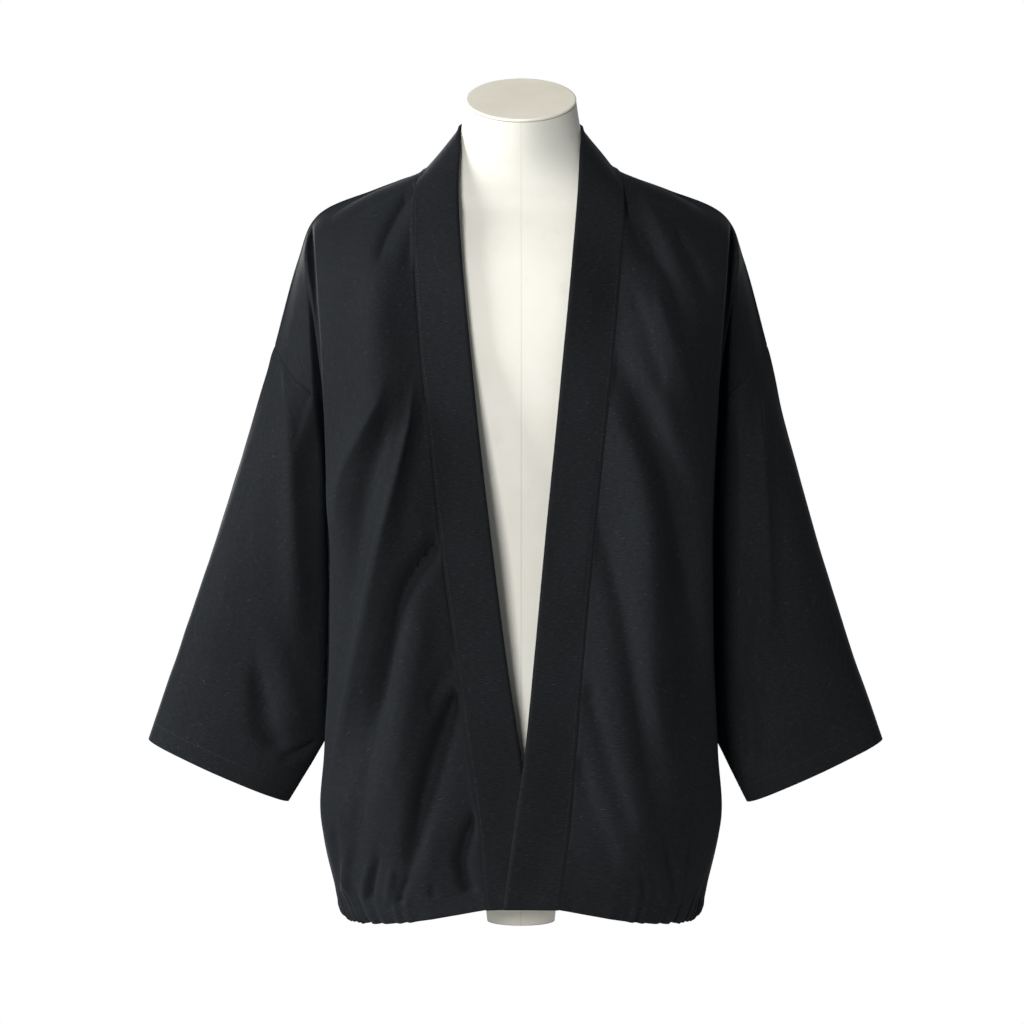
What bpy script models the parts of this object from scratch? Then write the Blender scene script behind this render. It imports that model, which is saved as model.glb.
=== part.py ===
"""Open kimono jacket worn on a limbless dress form.

The frame is in metres, +Z up. The front of the jacket faces -Y, so +X is the wearer's left.
The tables are in millimetres. Half tables give distances from the middle plane, x > 0, and
each side is built from them with its own sign.
"""
import math

import bmesh
import bpy
import numpy as np

MM = 0.001

# Cloth
PANEL_WALL = 1.8 * MM
BAND_WALL = 2.6 * MM
CASING_WALL = 2.4 * MM
SEAM_GAP = 0.65 * MM
FORM_GAP = 1.0 * MM
FRONT_EXTRA = 1.0 * MM

# Cells
ARMHOLE_CUTS = (0, 0.13, 0.36, 0.68, 1.08, 1.55, 2.05, 2.6, 3.2, 3.8, 4.25, 4.55, 4.78, 5)
SIDE_CUTS = (5.1, 5.32, 5.8, 6.4, 7, 7.6, 8.2, 8.8, 9.4, 10)
FRONT_CELLS = (4, 4, 3, 3)
NAPE_CELLS = 5
BAND_CELLS = 3
SLEEVE_CUTS = (0, 0.02, 0.055, 0.11, 0.18, 0.26, 0.35, 0.45, 0.55, 0.65, 0.75, 0.84, 0.92, 1)
CASING_LEVELS = (10.0, 10.5, 11.0)
FORM_SEGMENTS = 38

# Gathers of the hem casing: waves and height on each stretch
FRONT_GATHERS = 14
BACK_GATHERS = 36
GATHER_HEIGHT = 1.5 * MM
CELLS_PER_GATHER = 4

# Dress form
CAP_TILT = math.radians(20.5)
CAP_THICK = 3.0 * MM
CAP_GAP = 0.4 * MM
NECK_TILT_FROM = 0.765
NECK_TOP = 0.8215

# Form sections: height, half width, depth to the front, depth to the back, roundness power
FORM = """
height half_width front back power
0      34   32   32   2.0
9      35   33   33   2.0
19     36   34   34   2.0
27     54   46   46   2.1
37     102  77   75   2.25
60     137  95   92   2.3
100    155  104  99   2.3
160    161  108  104  2.3
230    159  107  102  2.3
310    149  101  94   2.3
385    142  97   90   2.3
460    149  104  94   2.3
530    163  113  100  2.3
590    180  117  105  2.3
635    196  112  107  2.3
668    202  101  105  2.3
688    201  89   99   2.25
703    192  78.5 92   2.2
716    173  70   85   2.2
729    148  66   79   2.2
741    119  61   72   2.1
753    92.5 58.5 66.5 2.0
766    73   57.5 62   2.0
782    63   57.5 59.5 2.0
800    58.2 56.5 57   2.0
821.5  54.8 55.5 55.5 2.0
"""

# Seam between band and panel, and the band's free edge. Row -2 is the centre back,
# 0 the neck point, 10 the top of the hem casing and 11 the hem.
BAND = """
row seam_x_right seam_x_left seam_y seam_z free_x_right free_x_left free_y_right free_y_left free_z
-2  0     0     80    757    0     0     64.5  64.5  803
-1  64    64    60    756    42.5  42.5  51    51    801
0   92.5  91    12    753    60.2  60.4  0     0     795
1   103.2 99.5  -46   739    61    58.5  -37   -37   772
2   105.6 99.9  -83   702    61.8  55.3  -77   -77   725
3   102.7 94.6  -108  640    56.8  48.5  -118  -118  651
4   97.2  88.2  -124  567    49    40.8  -128  -128  571
5   89.4  80.9  -130  499    41.9  34.2  -132  -132  501
6   78.9  70.7  -133  397    29.9  24    -134  -134  397
7   64.4  60.5  -134  285    15.8  13.8  -134.5 -136 285
8   51.9  53.3  -134  192    2.2   4.6   -132  -138  192
9   42.2  47.6  -132  118    -6.8  -5.6  -130  -137  118
10  36.4  38.8  -129  51.5   -11.5 -14.5 -128  -134  53
11  34.6  36.8  -128  33.5   -12.5 -16.4 -127  -133.5 35
"""

# Front panel from the shoulder line, row 0, to the hem, row 11
FRONT = """
row chest_x chest_y chest_z crest_x crest_y crest_z flank_x flank_y flank_z
0   146   8     734   201   2    709.5 222   0    663
1   150.7 -50   713   206   -32  685   218   -24  646
2   151.3 -88   672   201   -66  640   209   -46  616
3   148.5 -120  614   195.5 -86  584   199   -58  567
4   144.3 -136  545   190.5 -97  526   187   -66  520
5   139.5 -142  481   188.6 -102 465   171   -56  448
6   134   -144  393   185.8 -104 388   167   -55  381
7   128   -142  284   187.4 -97  281   169   -52  279
8   124   -138  189   190.5 -84  185   183   -42  183
9   121   -134  117   188   -80  113   198   -42  111
10  113   -114  36.5  161   -68  26.5  179   -34  24
11  108   -112  18.5  152   -62  8.5   169.5 -30  6.5
"""

# Back panel on the same rows
BACK = """
row crest_x crest_y crest_z blade_x blade_y blade_z neck_x neck_y neck_z nape_x nape_y nape_z mid_y mid_z
0   201   2     709.5 146   8     734   92   12    753   64   60    756   80    757
1   205   34    688   150   54    719   98   64    739   60   82    739   91    739
2   199   72    645   150   96    680   100  106   699   55   110   704   111   706
3   192   92    590   146   116   615   98   124   640   50   127   646   127   648
4   187   99    530   142   122   552   94   130   570   48   132   574   131   576
5   184   97    462   138   122   480   90   130   495   45   131   500   130   502
6   180   98    388   134   122   393   86   128   397   43   129   398   128   398
7   182   92    280   132   119   283   84   125   285   42   127   285   126   285
8   186   82    184   132   115   188   82   124   190   41   127   191   127   192
9   187   76    112   133   112   115   81   122   116   40   126   117   126   118
10  160   67    26.5  115   99    32    72   112   38    36   118   42    119   43
11  150   62    8.5   110   96    14    70   109   20    35   115   24    116   25
"""
BACK_FLANK = """
row x y z
0   222  0    663
1   218  24   646
2   210  48   616
3   199  60   567
4   187  67   520
5   170  54   448
6   166  54   381
7   168  50   279
8   181  42   183
9   196  40   111
10  177  36   24
11  167  33   6.5
"""

# Armhole from the shoulder, row 0, to the underarm, row 5, then the side seam down to the hem
ARMHOLE = """
row x y z
0   245.2 0    579
1   234   24   562
2   222   40   547
3   208.5 46   536
4   194   45   516
4.6 177   31   462
5   170   0    434
"""
SIDE = """
row x z
5   170 434
5.1 164 430
5.3 161 420
6   160 373
7   162 277
8   173 182
9   192 110
10  183 24
11  174 6.5
"""

# Sleeve: outer and inner edge, and half depth to the front and back, along its length
SLEEVE = """
along outer_x_right outer_x_left outer_z inner_x_right inner_x_left inner_z front back
0     245.2 245.2 579   170   170   434   46 46
0.02  247.6 247.2 571   177   177   430.5 46 46
0.055 251.5 250.6 557   181   181   420   46 46
0.16  264.5 259.5 515   180   180   390   45 46
0.33  282.8 275.8 455   179   179   335   44 45
0.58  314.4 305.4 354.7 178   178   262   42 42
0.76  342   331   274   187   187   204   39 40
0.89  359   348   227   210   208   161   37 38
1     373.6 362.7 184.6 233.3 228   122   35 35
"""

# Folds: side is -1 for the wearer's right and 1 for the left, face is -1 for the front and
# 1 for the back; three points in the front view, half width, and height: raised above zero
FOLDS = """
side face part x_top z_top x_mid z_mid x_low z_low wide high
-1 -1 body   130 560 166 460 186 366 17  4.0
-1 -1 body   106 546 139 400 182 150 13  4.5
-1 -1 body   128 470 160 330 176 240 13  -3.5
-1 -1 body   62  250 80  190 93  100 17  -5.0
1  -1 body   108 715 136 630 165 585 15  -3.5
1  -1 body   98  556 152 430 172 190 17  -6.0
1  -1 body   118 430 134 300 150 170 18  3.5
-1 1  body   60  640 95  450 120 200 18  4.5
-1 1  body   25  560 45  380 60  150 16  -4.0
1  1  body   62  650 90  430 125 210 18  4.5
1  1  body   20  520 48  360 55  130 16  -4.0
-1 -1 sleeve 233 590 230 470 219 260 13  4.0
-1 -1 sleeve 262 270 257 215 242 150 12  -3.5
1  -1 sleeve 232 590 236 450 244 300 14  3.5
1  -1 sleeve 226 250 226 200 229 150 12  -3.5
-1 1  sleeve 240 560 245 420 250 250 14  4.0
1  1  sleeve 240 560 242 420 246 250 14  4.0
"""

# Linear colour, roughness
LOOKS = {
    "cloth": ((0.020, 0.022, 0.025), 0.78),
    "form": ((0.80, 0.76, 0.66), 0.62),
    "cap": ((0.55, 0.52, 0.44), 0.66),
}


def table(text, scale=MM, plain=("row", "along", "power", "side", "face", "part")):
    """Reads a table with named columns; lengths come back in metres."""
    lines = text.split("\n")
    lines = [line.split() for line in lines if line.strip()]
    columns = {}
    for place, name in enumerate(lines[0]):
        cells = [line[place] for line in lines[1:]]
        if name == "part":
            columns[name] = cells
        else:
            columns[name] = np.array([float(c) for c in cells]) * (1 if name in plain else scale)
    return columns


def curve(knots, rows, at):
    """Smooth curve through the rows at the knots, read at the places in at."""
    knots = np.asarray(knots, float)
    rows = np.asarray(rows, float)
    at = np.asarray(at, float)
    slope = np.gradient(rows, knots, axis=0)
    cell = np.clip(np.searchsorted(knots, at, side="right") - 1, 0, len(knots) - 2)
    step = knots[cell + 1] - knots[cell]
    t = (at - knots[cell]) / step
    extra = (1,) * (rows.ndim - 1)
    t = t.reshape(t.shape + extra)
    step = step.reshape(step.shape + extra)
    return (
        (2 * t**3 - 3 * t**2 + 1) * rows[cell]
        + (t**3 - 2 * t**2 + t) * step * slope[cell]
        + (3 * t**2 - 2 * t**3) * rows[cell + 1]
        + (t**3 - t**2) * step * slope[cell + 1]
    )


def smooth_step(low, high, value):
    t = np.clip((value - low) / (high - low), 0, 1)
    return t * t * (3 - 2 * t)


# Dress form

FORM_ROWS = table(FORM)
FORM_VALUES = np.stack([FORM_ROWS[name] for name in ("half_width", "front", "back", "power")], -1)


def form_tilt(level):
    """Slope of the form's rings, which lean forward towards the top of the neck."""
    return math.tan(CAP_TILT) * smooth_step(NECK_TILT_FROM, NECK_TOP, level)


def form_level(points):
    level = points[..., 2].copy()
    for _ in range(4):
        level = points[..., 2] - form_tilt(level) * points[..., 1]
    return level


def form_excess(points):
    """Below zero inside the form, above zero outside it."""
    level = np.clip(form_level(points), FORM_ROWS["height"][0], FORM_ROWS["height"][-1])
    values = curve(FORM_ROWS["height"], FORM_VALUES, level)
    deep = np.where(points[..., 1] < 0, values[..., 1], values[..., 2])
    power = values[..., 3]
    sideways = np.abs(points[..., 0]) / values[..., 0]
    return (sideways**power + (np.abs(points[..., 1]) / deep) ** power) ** (1 / power) - 1


def clear_of_form(points, wall):
    """Moves cloth points outwards until their wall is clear of the form."""
    points = points.copy()
    need = wall / 2 + FORM_GAP
    tiny = 0.05 * MM
    need = need + FRONT_EXTRA * smooth_step(0, 0.02, -points[..., 1])
    for _ in range(6):
        value = form_excess(points)
        slope = np.zeros_like(points)
        for axis in range(3):
            shift = np.zeros(3)
            shift[axis] = tiny
            slope[..., axis] = (form_excess(points + shift) - form_excess(points - shift)) / (2 * tiny)
        size = np.maximum(np.linalg.norm(slope, axis=-1), 1e-6)
        away = value / size
        move = np.clip(need - away, 0, 4 * MM)
        near = (points[..., 2] < NECK_TOP) & (move > 0)
        points += np.where(near[..., None], slope / size[..., None] * move[..., None], 0)
    return points


# Folds

FOLD_ROWS = table(FOLDS)


def fold_rise(x, z, side, face, part):
    """Height of the folds at points of the front view, x measured from the middle."""
    rise = np.zeros_like(x)
    for k in range(len(FOLD_ROWS["wide"])):
        same = (FOLD_ROWS["side"][k], FOLD_ROWS["face"][k], FOLD_ROWS["part"][k]) == (side, face, part)
        if not same:
            continue
        path = np.array([[FOLD_ROWS[a + "_" + b][k] for a in "xz"] for b in ("top", "mid", "low")])
        path = curve([0, 0.5, 1], path, np.linspace(0, 1, 25))
        gap = np.stack([x, z], -1)[..., None, :] - path
        away = np.linalg.norm(gap, axis=-1)
        nearest = away.argmin(-1)
        along = nearest / (len(path) - 1)
        ends = smooth_step(0, 0.25, along) * smooth_step(0, 0.25, 1 - along)
        rise += FOLD_ROWS["high"][k] * np.exp(-((away.min(-1) / FOLD_ROWS["wide"][k]) ** 2)) * ends
    return rise


def with_folds(points, side, face, part):
    """Moves points to the front or back by the folds, fading out towards the side."""
    points = points.copy()
    rise = fold_rise(np.abs(points[..., 0]), points[..., 2], side, face, part)
    points[..., 1] += face * rise * smooth_step(0.012, 0.05, face * points[..., 1])
    return points


# Shapes of the jacket's half, x > 0

BAND_ROWS = table(BAND)
FRONT_ROWS = table(FRONT)
BACK_ROWS = table(BACK)
FLANK_ROWS = table(BACK_FLANK)
ARMHOLE_ROWS_AT = table(ARMHOLE)
SIDE_ROWS_AT = table(SIDE)
SLEEVE_ROWS = table(SLEEVE)


def named(rows, *names):
    return np.stack([rows[name] for name in names], -1)


def side_name(side):
    return "right" if side < 0 else "left"


def band_lines(side, at):
    """Seam and free edge of a band at the given rows, with the other half as its neighbour."""
    who = side_name(side)
    seam = named(BAND_ROWS, "seam_x_" + who, "seam_y", "seam_z")
    free = named(BAND_ROWS, "free_x_" + who, "free_y_" + who, "free_z")
    knots = np.r_[BAND_ROWS["row"][0] - 1, BAND_ROWS["row"]]
    lines = []
    for line in (seam, free):
        mirrored = line[1] * np.array([-1, 1, 1])
        lines.append(curve(knots, np.vstack([mirrored, line]), at))
    return lines


def edge_line(at, face):
    """Armhole above the underarm and side seam below it."""
    at = np.asarray(at, float)
    rows = named(ARMHOLE_ROWS_AT, "x", "y", "z")
    knots = ARMHOLE_ROWS_AT["row"]
    rows = np.vstack([rows, rows[-2] * np.array([1, -1, 1])])
    knots = np.r_[knots, 2 * knots[-1] - knots[-2]]
    arm = curve(knots, rows, np.minimum(at, 5))
    arm[..., 1] *= face
    low = curve(SIDE_ROWS_AT["row"], named(SIDE_ROWS_AT, "x", "z"), np.maximum(at, 5))
    side = np.stack([low[..., 0], np.zeros_like(low[..., 0]), low[..., 1]], -1)
    return np.where((at < 5)[..., None], arm, side)


def places(cells):
    """Places between stations, each stretch cut into its number of cells."""
    parts = [np.linspace(k, k + 1, count + 1)[:-1] for k, count in enumerate(cells)]
    return np.concatenate(parts + [[len(cells)]])


def beyond_edge(edge, flank, other_flank, at):
    """Neighbour past the edge: straight on at the armhole, the other panel at the side seam."""
    share = smooth_step(4.6, 5.4, np.asarray(at, float))[..., None]
    return (1 - share) * (2 * edge - flank) + share * other_flank


def front_half(side, at, across):
    """Front panel from its band seam to its edge, station by station."""
    seam = band_lines(side, at)[0]
    chest = curve(FRONT_ROWS["row"], named(FRONT_ROWS, "chest_x", "chest_y", "chest_z"), at)
    crest = curve(FRONT_ROWS["row"], named(FRONT_ROWS, "crest_x", "crest_y", "crest_z"), at)
    flank = curve(FRONT_ROWS["row"], named(FRONT_ROWS, "flank_x", "flank_y", "flank_z"), at)
    other = curve(FLANK_ROWS["row"], named(FLANK_ROWS, "x", "y", "z"), at)
    edge = edge_line(at, -1)
    stations = [seam, chest, crest, flank, edge, beyond_edge(edge, flank, other, at)]
    grid = curve(np.arange(6), np.stack(stations), across)
    return np.swapaxes(grid, 0, 1)


def back_half(at, across):
    """Back panel from its edge to the middle."""
    other = curve(FRONT_ROWS["row"], named(FRONT_ROWS, "flank_x", "flank_y", "flank_z"), at)
    flank = curve(FLANK_ROWS["row"], named(FLANK_ROWS, "x", "y", "z"), at)
    edge = edge_line(at, 1)
    stations = [beyond_edge(edge, flank, other, at), edge, flank]
    for name in ("crest", "blade", "neck", "nape"):
        columns = (name + "_x", name + "_y", name + "_z")
        stations.append(curve(BACK_ROWS["row"], named(BACK_ROWS, *columns), at))
    middle = curve(BACK_ROWS["row"], named(BACK_ROWS, "mid_y", "mid_z"), at)
    stations.append(np.concatenate([np.zeros(middle.shape[:-1] + (1,)), middle], -1))
    stations.append(stations[-2] * np.array([-1, 1, 1]))
    grid = curve(np.arange(-1, 8), np.stack(stations), across)
    return np.swapaxes(grid, 0, 1)


def signed(points, side):
    return points * np.array([side, 1, 1])


def front_panel(side, at, across):
    grid = signed(front_half(side, at, across), side)
    grid = with_folds(grid, side, -1, "body")
    return clear_of_form(grid, PANEL_WALL)


def shoulder_line(side, across):
    return front_panel(side, np.zeros(1), across)[0]


def neckline(side, at):
    """Neck seam from the neck point to the centre back, clear of the form like the band."""
    return clear_of_form(signed(band_lines(side, at)[0], side), BAND_WALL)


def back_panel(at, front_across, nape_across):
    """Whole back panel from the wearer's right edge to the left, met to the shoulder and neck."""
    halves = []
    shoulder = front_across[::-1]
    across = np.concatenate([4 - shoulder, 4 + nape_across[1:]])
    for side in (-1, 1):
        half = signed(back_half(at, across), side)
        half = with_folds(half, side, 1, "body")
        half = clear_of_form(half, PANEL_WALL)
        top = half[0].copy() if at[0] == 0 else None
        if top is not None:
            wanted = np.vstack([shoulder_line(side, shoulder), neckline(side, -nape_across[1:])])
            share = np.exp(-((at / 0.6) ** 2))[:, None, None]
            half = half + share * (wanted - top)
            half[1:] = clear_of_form(half[1:], PANEL_WALL)
            half[0] = wanted
        halves.append(half)
    return np.concatenate([halves[0], halves[1][:, ::-1][:, 1:]], axis=1)


def band_surface(side, at, cells):
    """Band from its seam with the panel to its free edge."""
    seam, free = band_lines(side, at)
    share = np.linspace(0, 1, cells + 1)[None, :, None]
    grid = signed(seam[:, None] * (1 - share) + free[:, None] * share, side)
    return clear_of_form(grid, BAND_WALL)


def ring_angles(loop, count):
    """Angle of each armhole point by its share of the way from shoulder to underarm."""
    angles = []
    for stretch, start in ((loop[: count + 1], 0.0), (np.vstack([loop[count:], loop[:1]]), math.pi)):
        steps = np.r_[0, np.cumsum(np.linalg.norm(np.diff(stretch, axis=0), axis=1))]
        angles.append(start + math.pi * steps / steps[-1])
    return np.concatenate([angles[0], angles[1][1:-1]])


def sleeve_section(side, along, angles):
    """Flattened ring of the sleeve at each place along it."""
    who = side_name(side)
    names = ("outer_x_" + who, "outer_z", "inner_x_" + who, "inner_z", "front", "back")
    values = curve(SLEEVE_ROWS["along"], named(SLEEVE_ROWS, *names), along)[:, None]
    swing = (1 + np.cos(angles)) / 2
    deep = np.where(np.sin(angles) > 0, -values[..., 4], values[..., 5]) * np.abs(np.sin(angles)) ** 0.9
    x = values[..., 2] + (values[..., 0] - values[..., 2]) * swing
    z = values[..., 3] + (values[..., 1] - values[..., 3]) * swing
    return np.stack([x, deep, z], -1)


def sleeve(side, rows_at, along):
    """Sleeve rings from the armhole loop of the panels to the open cuff."""
    front = front_panel(side, rows_at, np.array([4.0]))[:, 0]
    back = signed(edge_line(rows_at, 1), side)
    back = clear_of_form(with_folds(back, side, 1, "body"), PANEL_WALL)
    loop = np.vstack([front, back[-2:0:-1]])
    angles = ring_angles(loop, len(rows_at) - 1)
    rings = signed(sleeve_section(side, along, angles), side)
    rings = np.stack([rings[..., 0], rings[..., 1], rings[..., 2]], -1)
    fade = 1 - smooth_step(0, 0.42, along)[:, None, None]
    rings = rings + (loop - rings[0]) * fade
    late = smooth_step(0.02, 0.2, along)[:, None, None]
    for face in (-1, 1):
        folded = with_folds(rings, side, face, "sleeve")
        rings = rings + (folded - rings) * late
    return rings


# Solids

def grid_normals(grid, closed=False):
    """Normals of a grid of points by central differences, rows down and columns across."""
    if closed:
        across = np.roll(grid, -1, 1) - np.roll(grid, 1, 1)
    else:
        across = np.gradient(grid, axis=1)
    normals = np.cross(np.gradient(grid, axis=0), across)
    size = np.linalg.norm(normals, axis=-1, keepdims=True)
    return normals / np.maximum(size, 1e-12)


def outward(grid, normals, centre):
    """Turns the normals so that most of them point away from the centre."""
    away = ((grid - centre) * normals).sum(-1)
    return normals if away.sum() > 0 else -normals


def share_normals(pieces):
    """Gives points that pieces have in common the same normal."""
    sums = {}
    for piece in pieces.values():
        for point, normal in zip(piece["grid"].reshape(-1, 3), piece["normals"].reshape(-1, 3)):
            key = tuple(np.round(point * 1e6).astype(int))
            sums[key] = sums.get(key, 0) + normal
    for piece in pieces.values():
        flat = piece["normals"].reshape(-1, 3).copy()
        for n, point in enumerate(piece["grid"].reshape(-1, 3)):
            total = sums[tuple(np.round(point * 1e6).astype(int))]
            flat[n] = total / np.linalg.norm(total)
        piece["normals"] = flat.reshape(piece["normals"].shape)


def pull_in(grid, sides):
    """Moves the named borders of a grid inwards by half the seam gap."""
    grid = grid.copy()
    half = SEAM_GAP / 2
    steps = []
    if "top" in sides:
        steps.append(((0, slice(None)), (1, slice(None))))
    if "low" in sides:
        steps.append(((-1, slice(None)), (-2, slice(None))))
    if "start" in sides:
        steps.append(((slice(None), 0), (slice(None), 1)))
    if "end" in sides:
        steps.append(((slice(None), -1), (slice(None), -2)))
    for border, inner in steps:
        way = grid[inner] - grid[border]
        grid[border] += way / np.linalg.norm(way, axis=-1, keepdims=True) * half
    return grid


def tuck(grid, spots):
    """Moves the underarm corners of a panel down its side seam, clear of the sleeve."""
    for row, column in spots:
        way = grid[row + 1, column] - grid[row, column]
        grid[row, column] += way / np.linalg.norm(way) * SEAM_GAP / 2
    return grid


def make_object(name, verts, faces, look, smooth=True):
    mesh = bpy.data.meshes.new(name)
    mesh.from_pydata([tuple(v) for v in verts], [], faces)
    work = bmesh.new()
    work.from_mesh(mesh)
    bmesh.ops.recalc_face_normals(work, faces=work.faces)
    work.to_mesh(mesh)
    work.free()
    for face in mesh.polygons:
        face.use_smooth = smooth
    material = bpy.data.materials.new(name + "_surface")
    material.use_nodes = True
    shader = material.node_tree.nodes["Principled BSDF"]
    colour, rough = LOOKS[look]
    shader.inputs["Base Color"].default_value = (*colour, 1)
    shader.inputs["Roughness"].default_value = rough
    shader.inputs["Metallic"].default_value = 0
    material.diffuse_color = (*colour, 1)
    mesh.materials.append(material)
    thing = bpy.data.objects.new(name, mesh)
    bpy.context.scene.collection.objects.link(thing)
    return thing


def shell(name, grid, normals, wall, closed=False):
    """Wall of even thickness around a grid, open at its borders' rims."""
    rows, columns = grid.shape[:2]
    outer = (grid + normals * wall / 2).reshape(-1, 3)
    inner = (grid - normals * wall / 2).reshape(-1, 3)
    verts = np.vstack([outer, inner])
    far = rows * columns
    faces = []
    cells = columns if closed else columns - 1
    for i in range(rows - 1):
        for j in range(cells):
            a = i * columns + j
            b = i * columns + (j + 1) % columns
            c, d = b + columns, a + columns
            faces.append((a, b, c, d))
            faces.append((far + a, far + d, far + c, far + b))
    for i in (0, rows - 1):
        for j in range(cells):
            a = i * columns + j
            b = i * columns + (j + 1) % columns
            rim = (a, b, far + b, far + a)
            faces.append(rim[::-1] if i == 0 else rim)
    if not closed:
        for j in (0, columns - 1):
            for i in range(rows - 1):
                a = i * columns + j
                d = a + columns
                rim = (a, d, far + d, far + a)
                faces.append(rim if j == 0 else rim[::-1])
    return make_object(name, verts, faces, "cloth")


def gather_rise(count, cells):
    """Uneven waves along a casing, gone at its ends."""
    place = np.linspace(0, 1, cells + 1)
    bend = 0.014 * np.sin(2 * math.pi * 3 * place + 0.7) + 0.006 * np.sin(2 * math.pi * 7 * place)
    wave = np.sin(2 * math.pi * count * (place + bend * 14 / count))
    size = 0.75 + 0.25 * np.sin(2 * math.pi * 4.3 * place + 1.1)
    ends = smooth_step(0, 0.03, place) * smooth_step(0, 0.03, 1 - place)
    return place, wave * size * ends


def casing(surface, start, end, count, strength):
    """Hem casing below a panel, following its lower edge, with gathers that grow downwards."""
    cells = count * CELLS_PER_GATHER
    place, wave = gather_rise(count, cells)
    across = start + (end - start) * place
    levels = np.array([CASING_LEVELS[0] - 0.25, *CASING_LEVELS])
    grid = surface(levels, across)
    normals = outward(grid, grid_normals(grid), np.array([0, 0, 0.02]))
    grow = np.array([0, 0, 0.7, 1.0])[:, None]
    rise = wave * strength(across) * GATHER_HEIGHT * grow
    grid = grid + normals * rise[..., None]
    grid[..., 2] = np.maximum(grid[..., 2], 5.5 * MM)
    turned = outward(grid, grid_normals(grid), np.array([0, 0, 0.02]))
    turned[1] = normals[1]
    return grid[1:], turned[1:]


def main():
    for thing in list(bpy.data.objects):
        bpy.data.objects.remove(thing, do_unlink=True)

    arm_at = np.array(ARMHOLE_CUTS, float)
    low_at = np.array(SIDE_CUTS, float)
    rows_at = np.concatenate([arm_at, low_at])
    across = places(FRONT_CELLS)
    nape = np.linspace(0, 2, NAPE_CELLS + 1)
    past_hem = np.r_[rows_at, 10.25]
    middle = np.array([0, 0, 0.45])

    pieces = {}

    # Panels, each worked out one row past its lower edge so that the casing meets it smoothly
    for side, name in ((-1, "front_right"), (1, "front_left")):
        grid = front_panel(side, past_hem, across)
        normals = outward(grid, grid_normals(grid), middle)
        pieces[name] = {
            "grid": grid[:-1], "normals": normals[:-1], "wall": PANEL_WALL,
            "sides": ("top", "low", "start", "end"), "closed": False,
            "tuck": [(len(arm_at) - 1, -1)],
        }
    grid = back_panel(past_hem, across, nape)
    normals = outward(grid, grid_normals(grid), middle)
    pieces["back"] = {
        "grid": grid[:-1], "normals": normals[:-1], "wall": PANEL_WALL,
        "sides": ("top", "low", "start", "end"), "closed": False,
        "tuck": [(len(arm_at) - 1, 0), (len(arm_at) - 1, -1)],
    }

    # Sleeves
    along = np.array(SLEEVE_CUTS, float)
    for side, name in ((-1, "sleeve_right"), (1, "sleeve_left")):
        grid = sleeve(side, arm_at, along)
        normals = outward(grid, grid_normals(grid, closed=True), grid.mean(axis=(0, 1)))
        pieces[name] = {
            "grid": grid, "normals": normals, "wall": PANEL_WALL,
            "sides": ("top",), "closed": True,
        }

    # Bands, from the centre back round the neck and down to the hem
    band_at = np.concatenate([-nape[:0:-1], rows_at, CASING_LEVELS[1:]])
    for side, name in ((-1, "band_right"), (1, "band_left")):
        grid = band_surface(side, band_at, BAND_CELLS)
        grid[: len(nape) - 1, 0] = neckline(side, band_at[: len(nape) - 1])
        grid[len(nape) - 1, 0] = neckline(side, np.zeros(1))[0]
        seam = front_panel(side, rows_at, np.zeros(1))[:, 0]
        grid[len(nape) - 1 : len(nape) - 1 + len(rows_at), 0] = seam
        normals = outward(grid, grid_normals(grid), middle)
        pieces[name] = {
            "grid": grid, "normals": normals, "wall": BAND_WALL,
            "sides": ("top", "start"), "closed": False,
        }

    # Casings along the hem
    for side, name in ((-1, "hem_front_right"), (1, "hem_front_left")):
        grid, normals = casing(
            lambda at, u, s=side: front_panel(s, at, u), 0.0, 4.0, FRONT_GATHERS,
            lambda u: 0.35 + 0.65 * smooth_step(0.3, 1.6, u),
        )
        pieces[name] = {
            "grid": grid, "normals": normals, "wall": CASING_WALL,
            "sides": ("top", "start", "end"), "closed": False,
        }
    def back_low(at, u):
        half = 4 + nape[-1]
        right = signed(back_half(at, u[u <= half]), -1)
        left = signed(back_half(at, 2 * half - u[u > half]), 1)
        parts = [with_folds(right, -1, 1, "body"), with_folds(left, 1, 1, "body")]
        return np.concatenate(parts, axis=1)

    grid, normals = casing(back_low, 0.0, 2 * (4 + nape[-1]), BACK_GATHERS, lambda u: np.ones_like(u))
    pieces["hem_back"] = {
        "grid": grid, "normals": normals, "wall": CASING_WALL,
        "sides": ("top", "start", "end"), "closed": False,
    }

    share_normals(pieces)
    for name, piece in pieces.items():
        grid = tuck(pull_in(piece["grid"], piece["sides"]), piece.get("tuck", []))
        shell(name, grid, piece["normals"], piece["wall"], piece["closed"])

    build_form()


def form_ring(level, count, shrink=0.0):
    """One ring of the form at a level, leaning as the form does there."""
    angles = np.linspace(0, 2 * math.pi, count, endpoint=False)
    values = curve(FORM_ROWS["height"], FORM_VALUES, np.array([level]))[0]
    power = values[3]
    c, s = np.cos(angles), np.sin(angles)
    x = np.sign(c) * np.abs(c) ** (2 / power) * (values[0] - shrink)
    deep = np.where(s < 0, values[1], values[2]) - shrink
    y = np.sign(s) * np.abs(s) ** (2 / power) * deep
    return np.stack([x, y, level + form_tilt(level) * y], -1)


def ring_solid(name, rings, look):
    """Solid through rings of equal count, closed flat at both ends."""
    count = len(rings[0])
    verts = np.vstack(rings)
    faces = [tuple(reversed(range(count)))]
    for k in range(len(rings) - 1):
        for j in range(count):
            a, b = k * count + j, k * count + (j + 1) % count
            faces.append((a, b, b + count, a + count))
    last = (len(rings) - 1) * count
    faces.append(tuple(range(last, last + count)))
    thing = make_object(name, verts, faces, look)
    for face in thing.data.polygons:
        if len(face.vertices) > 4:
            face.use_smooth = False
    return thing


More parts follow.
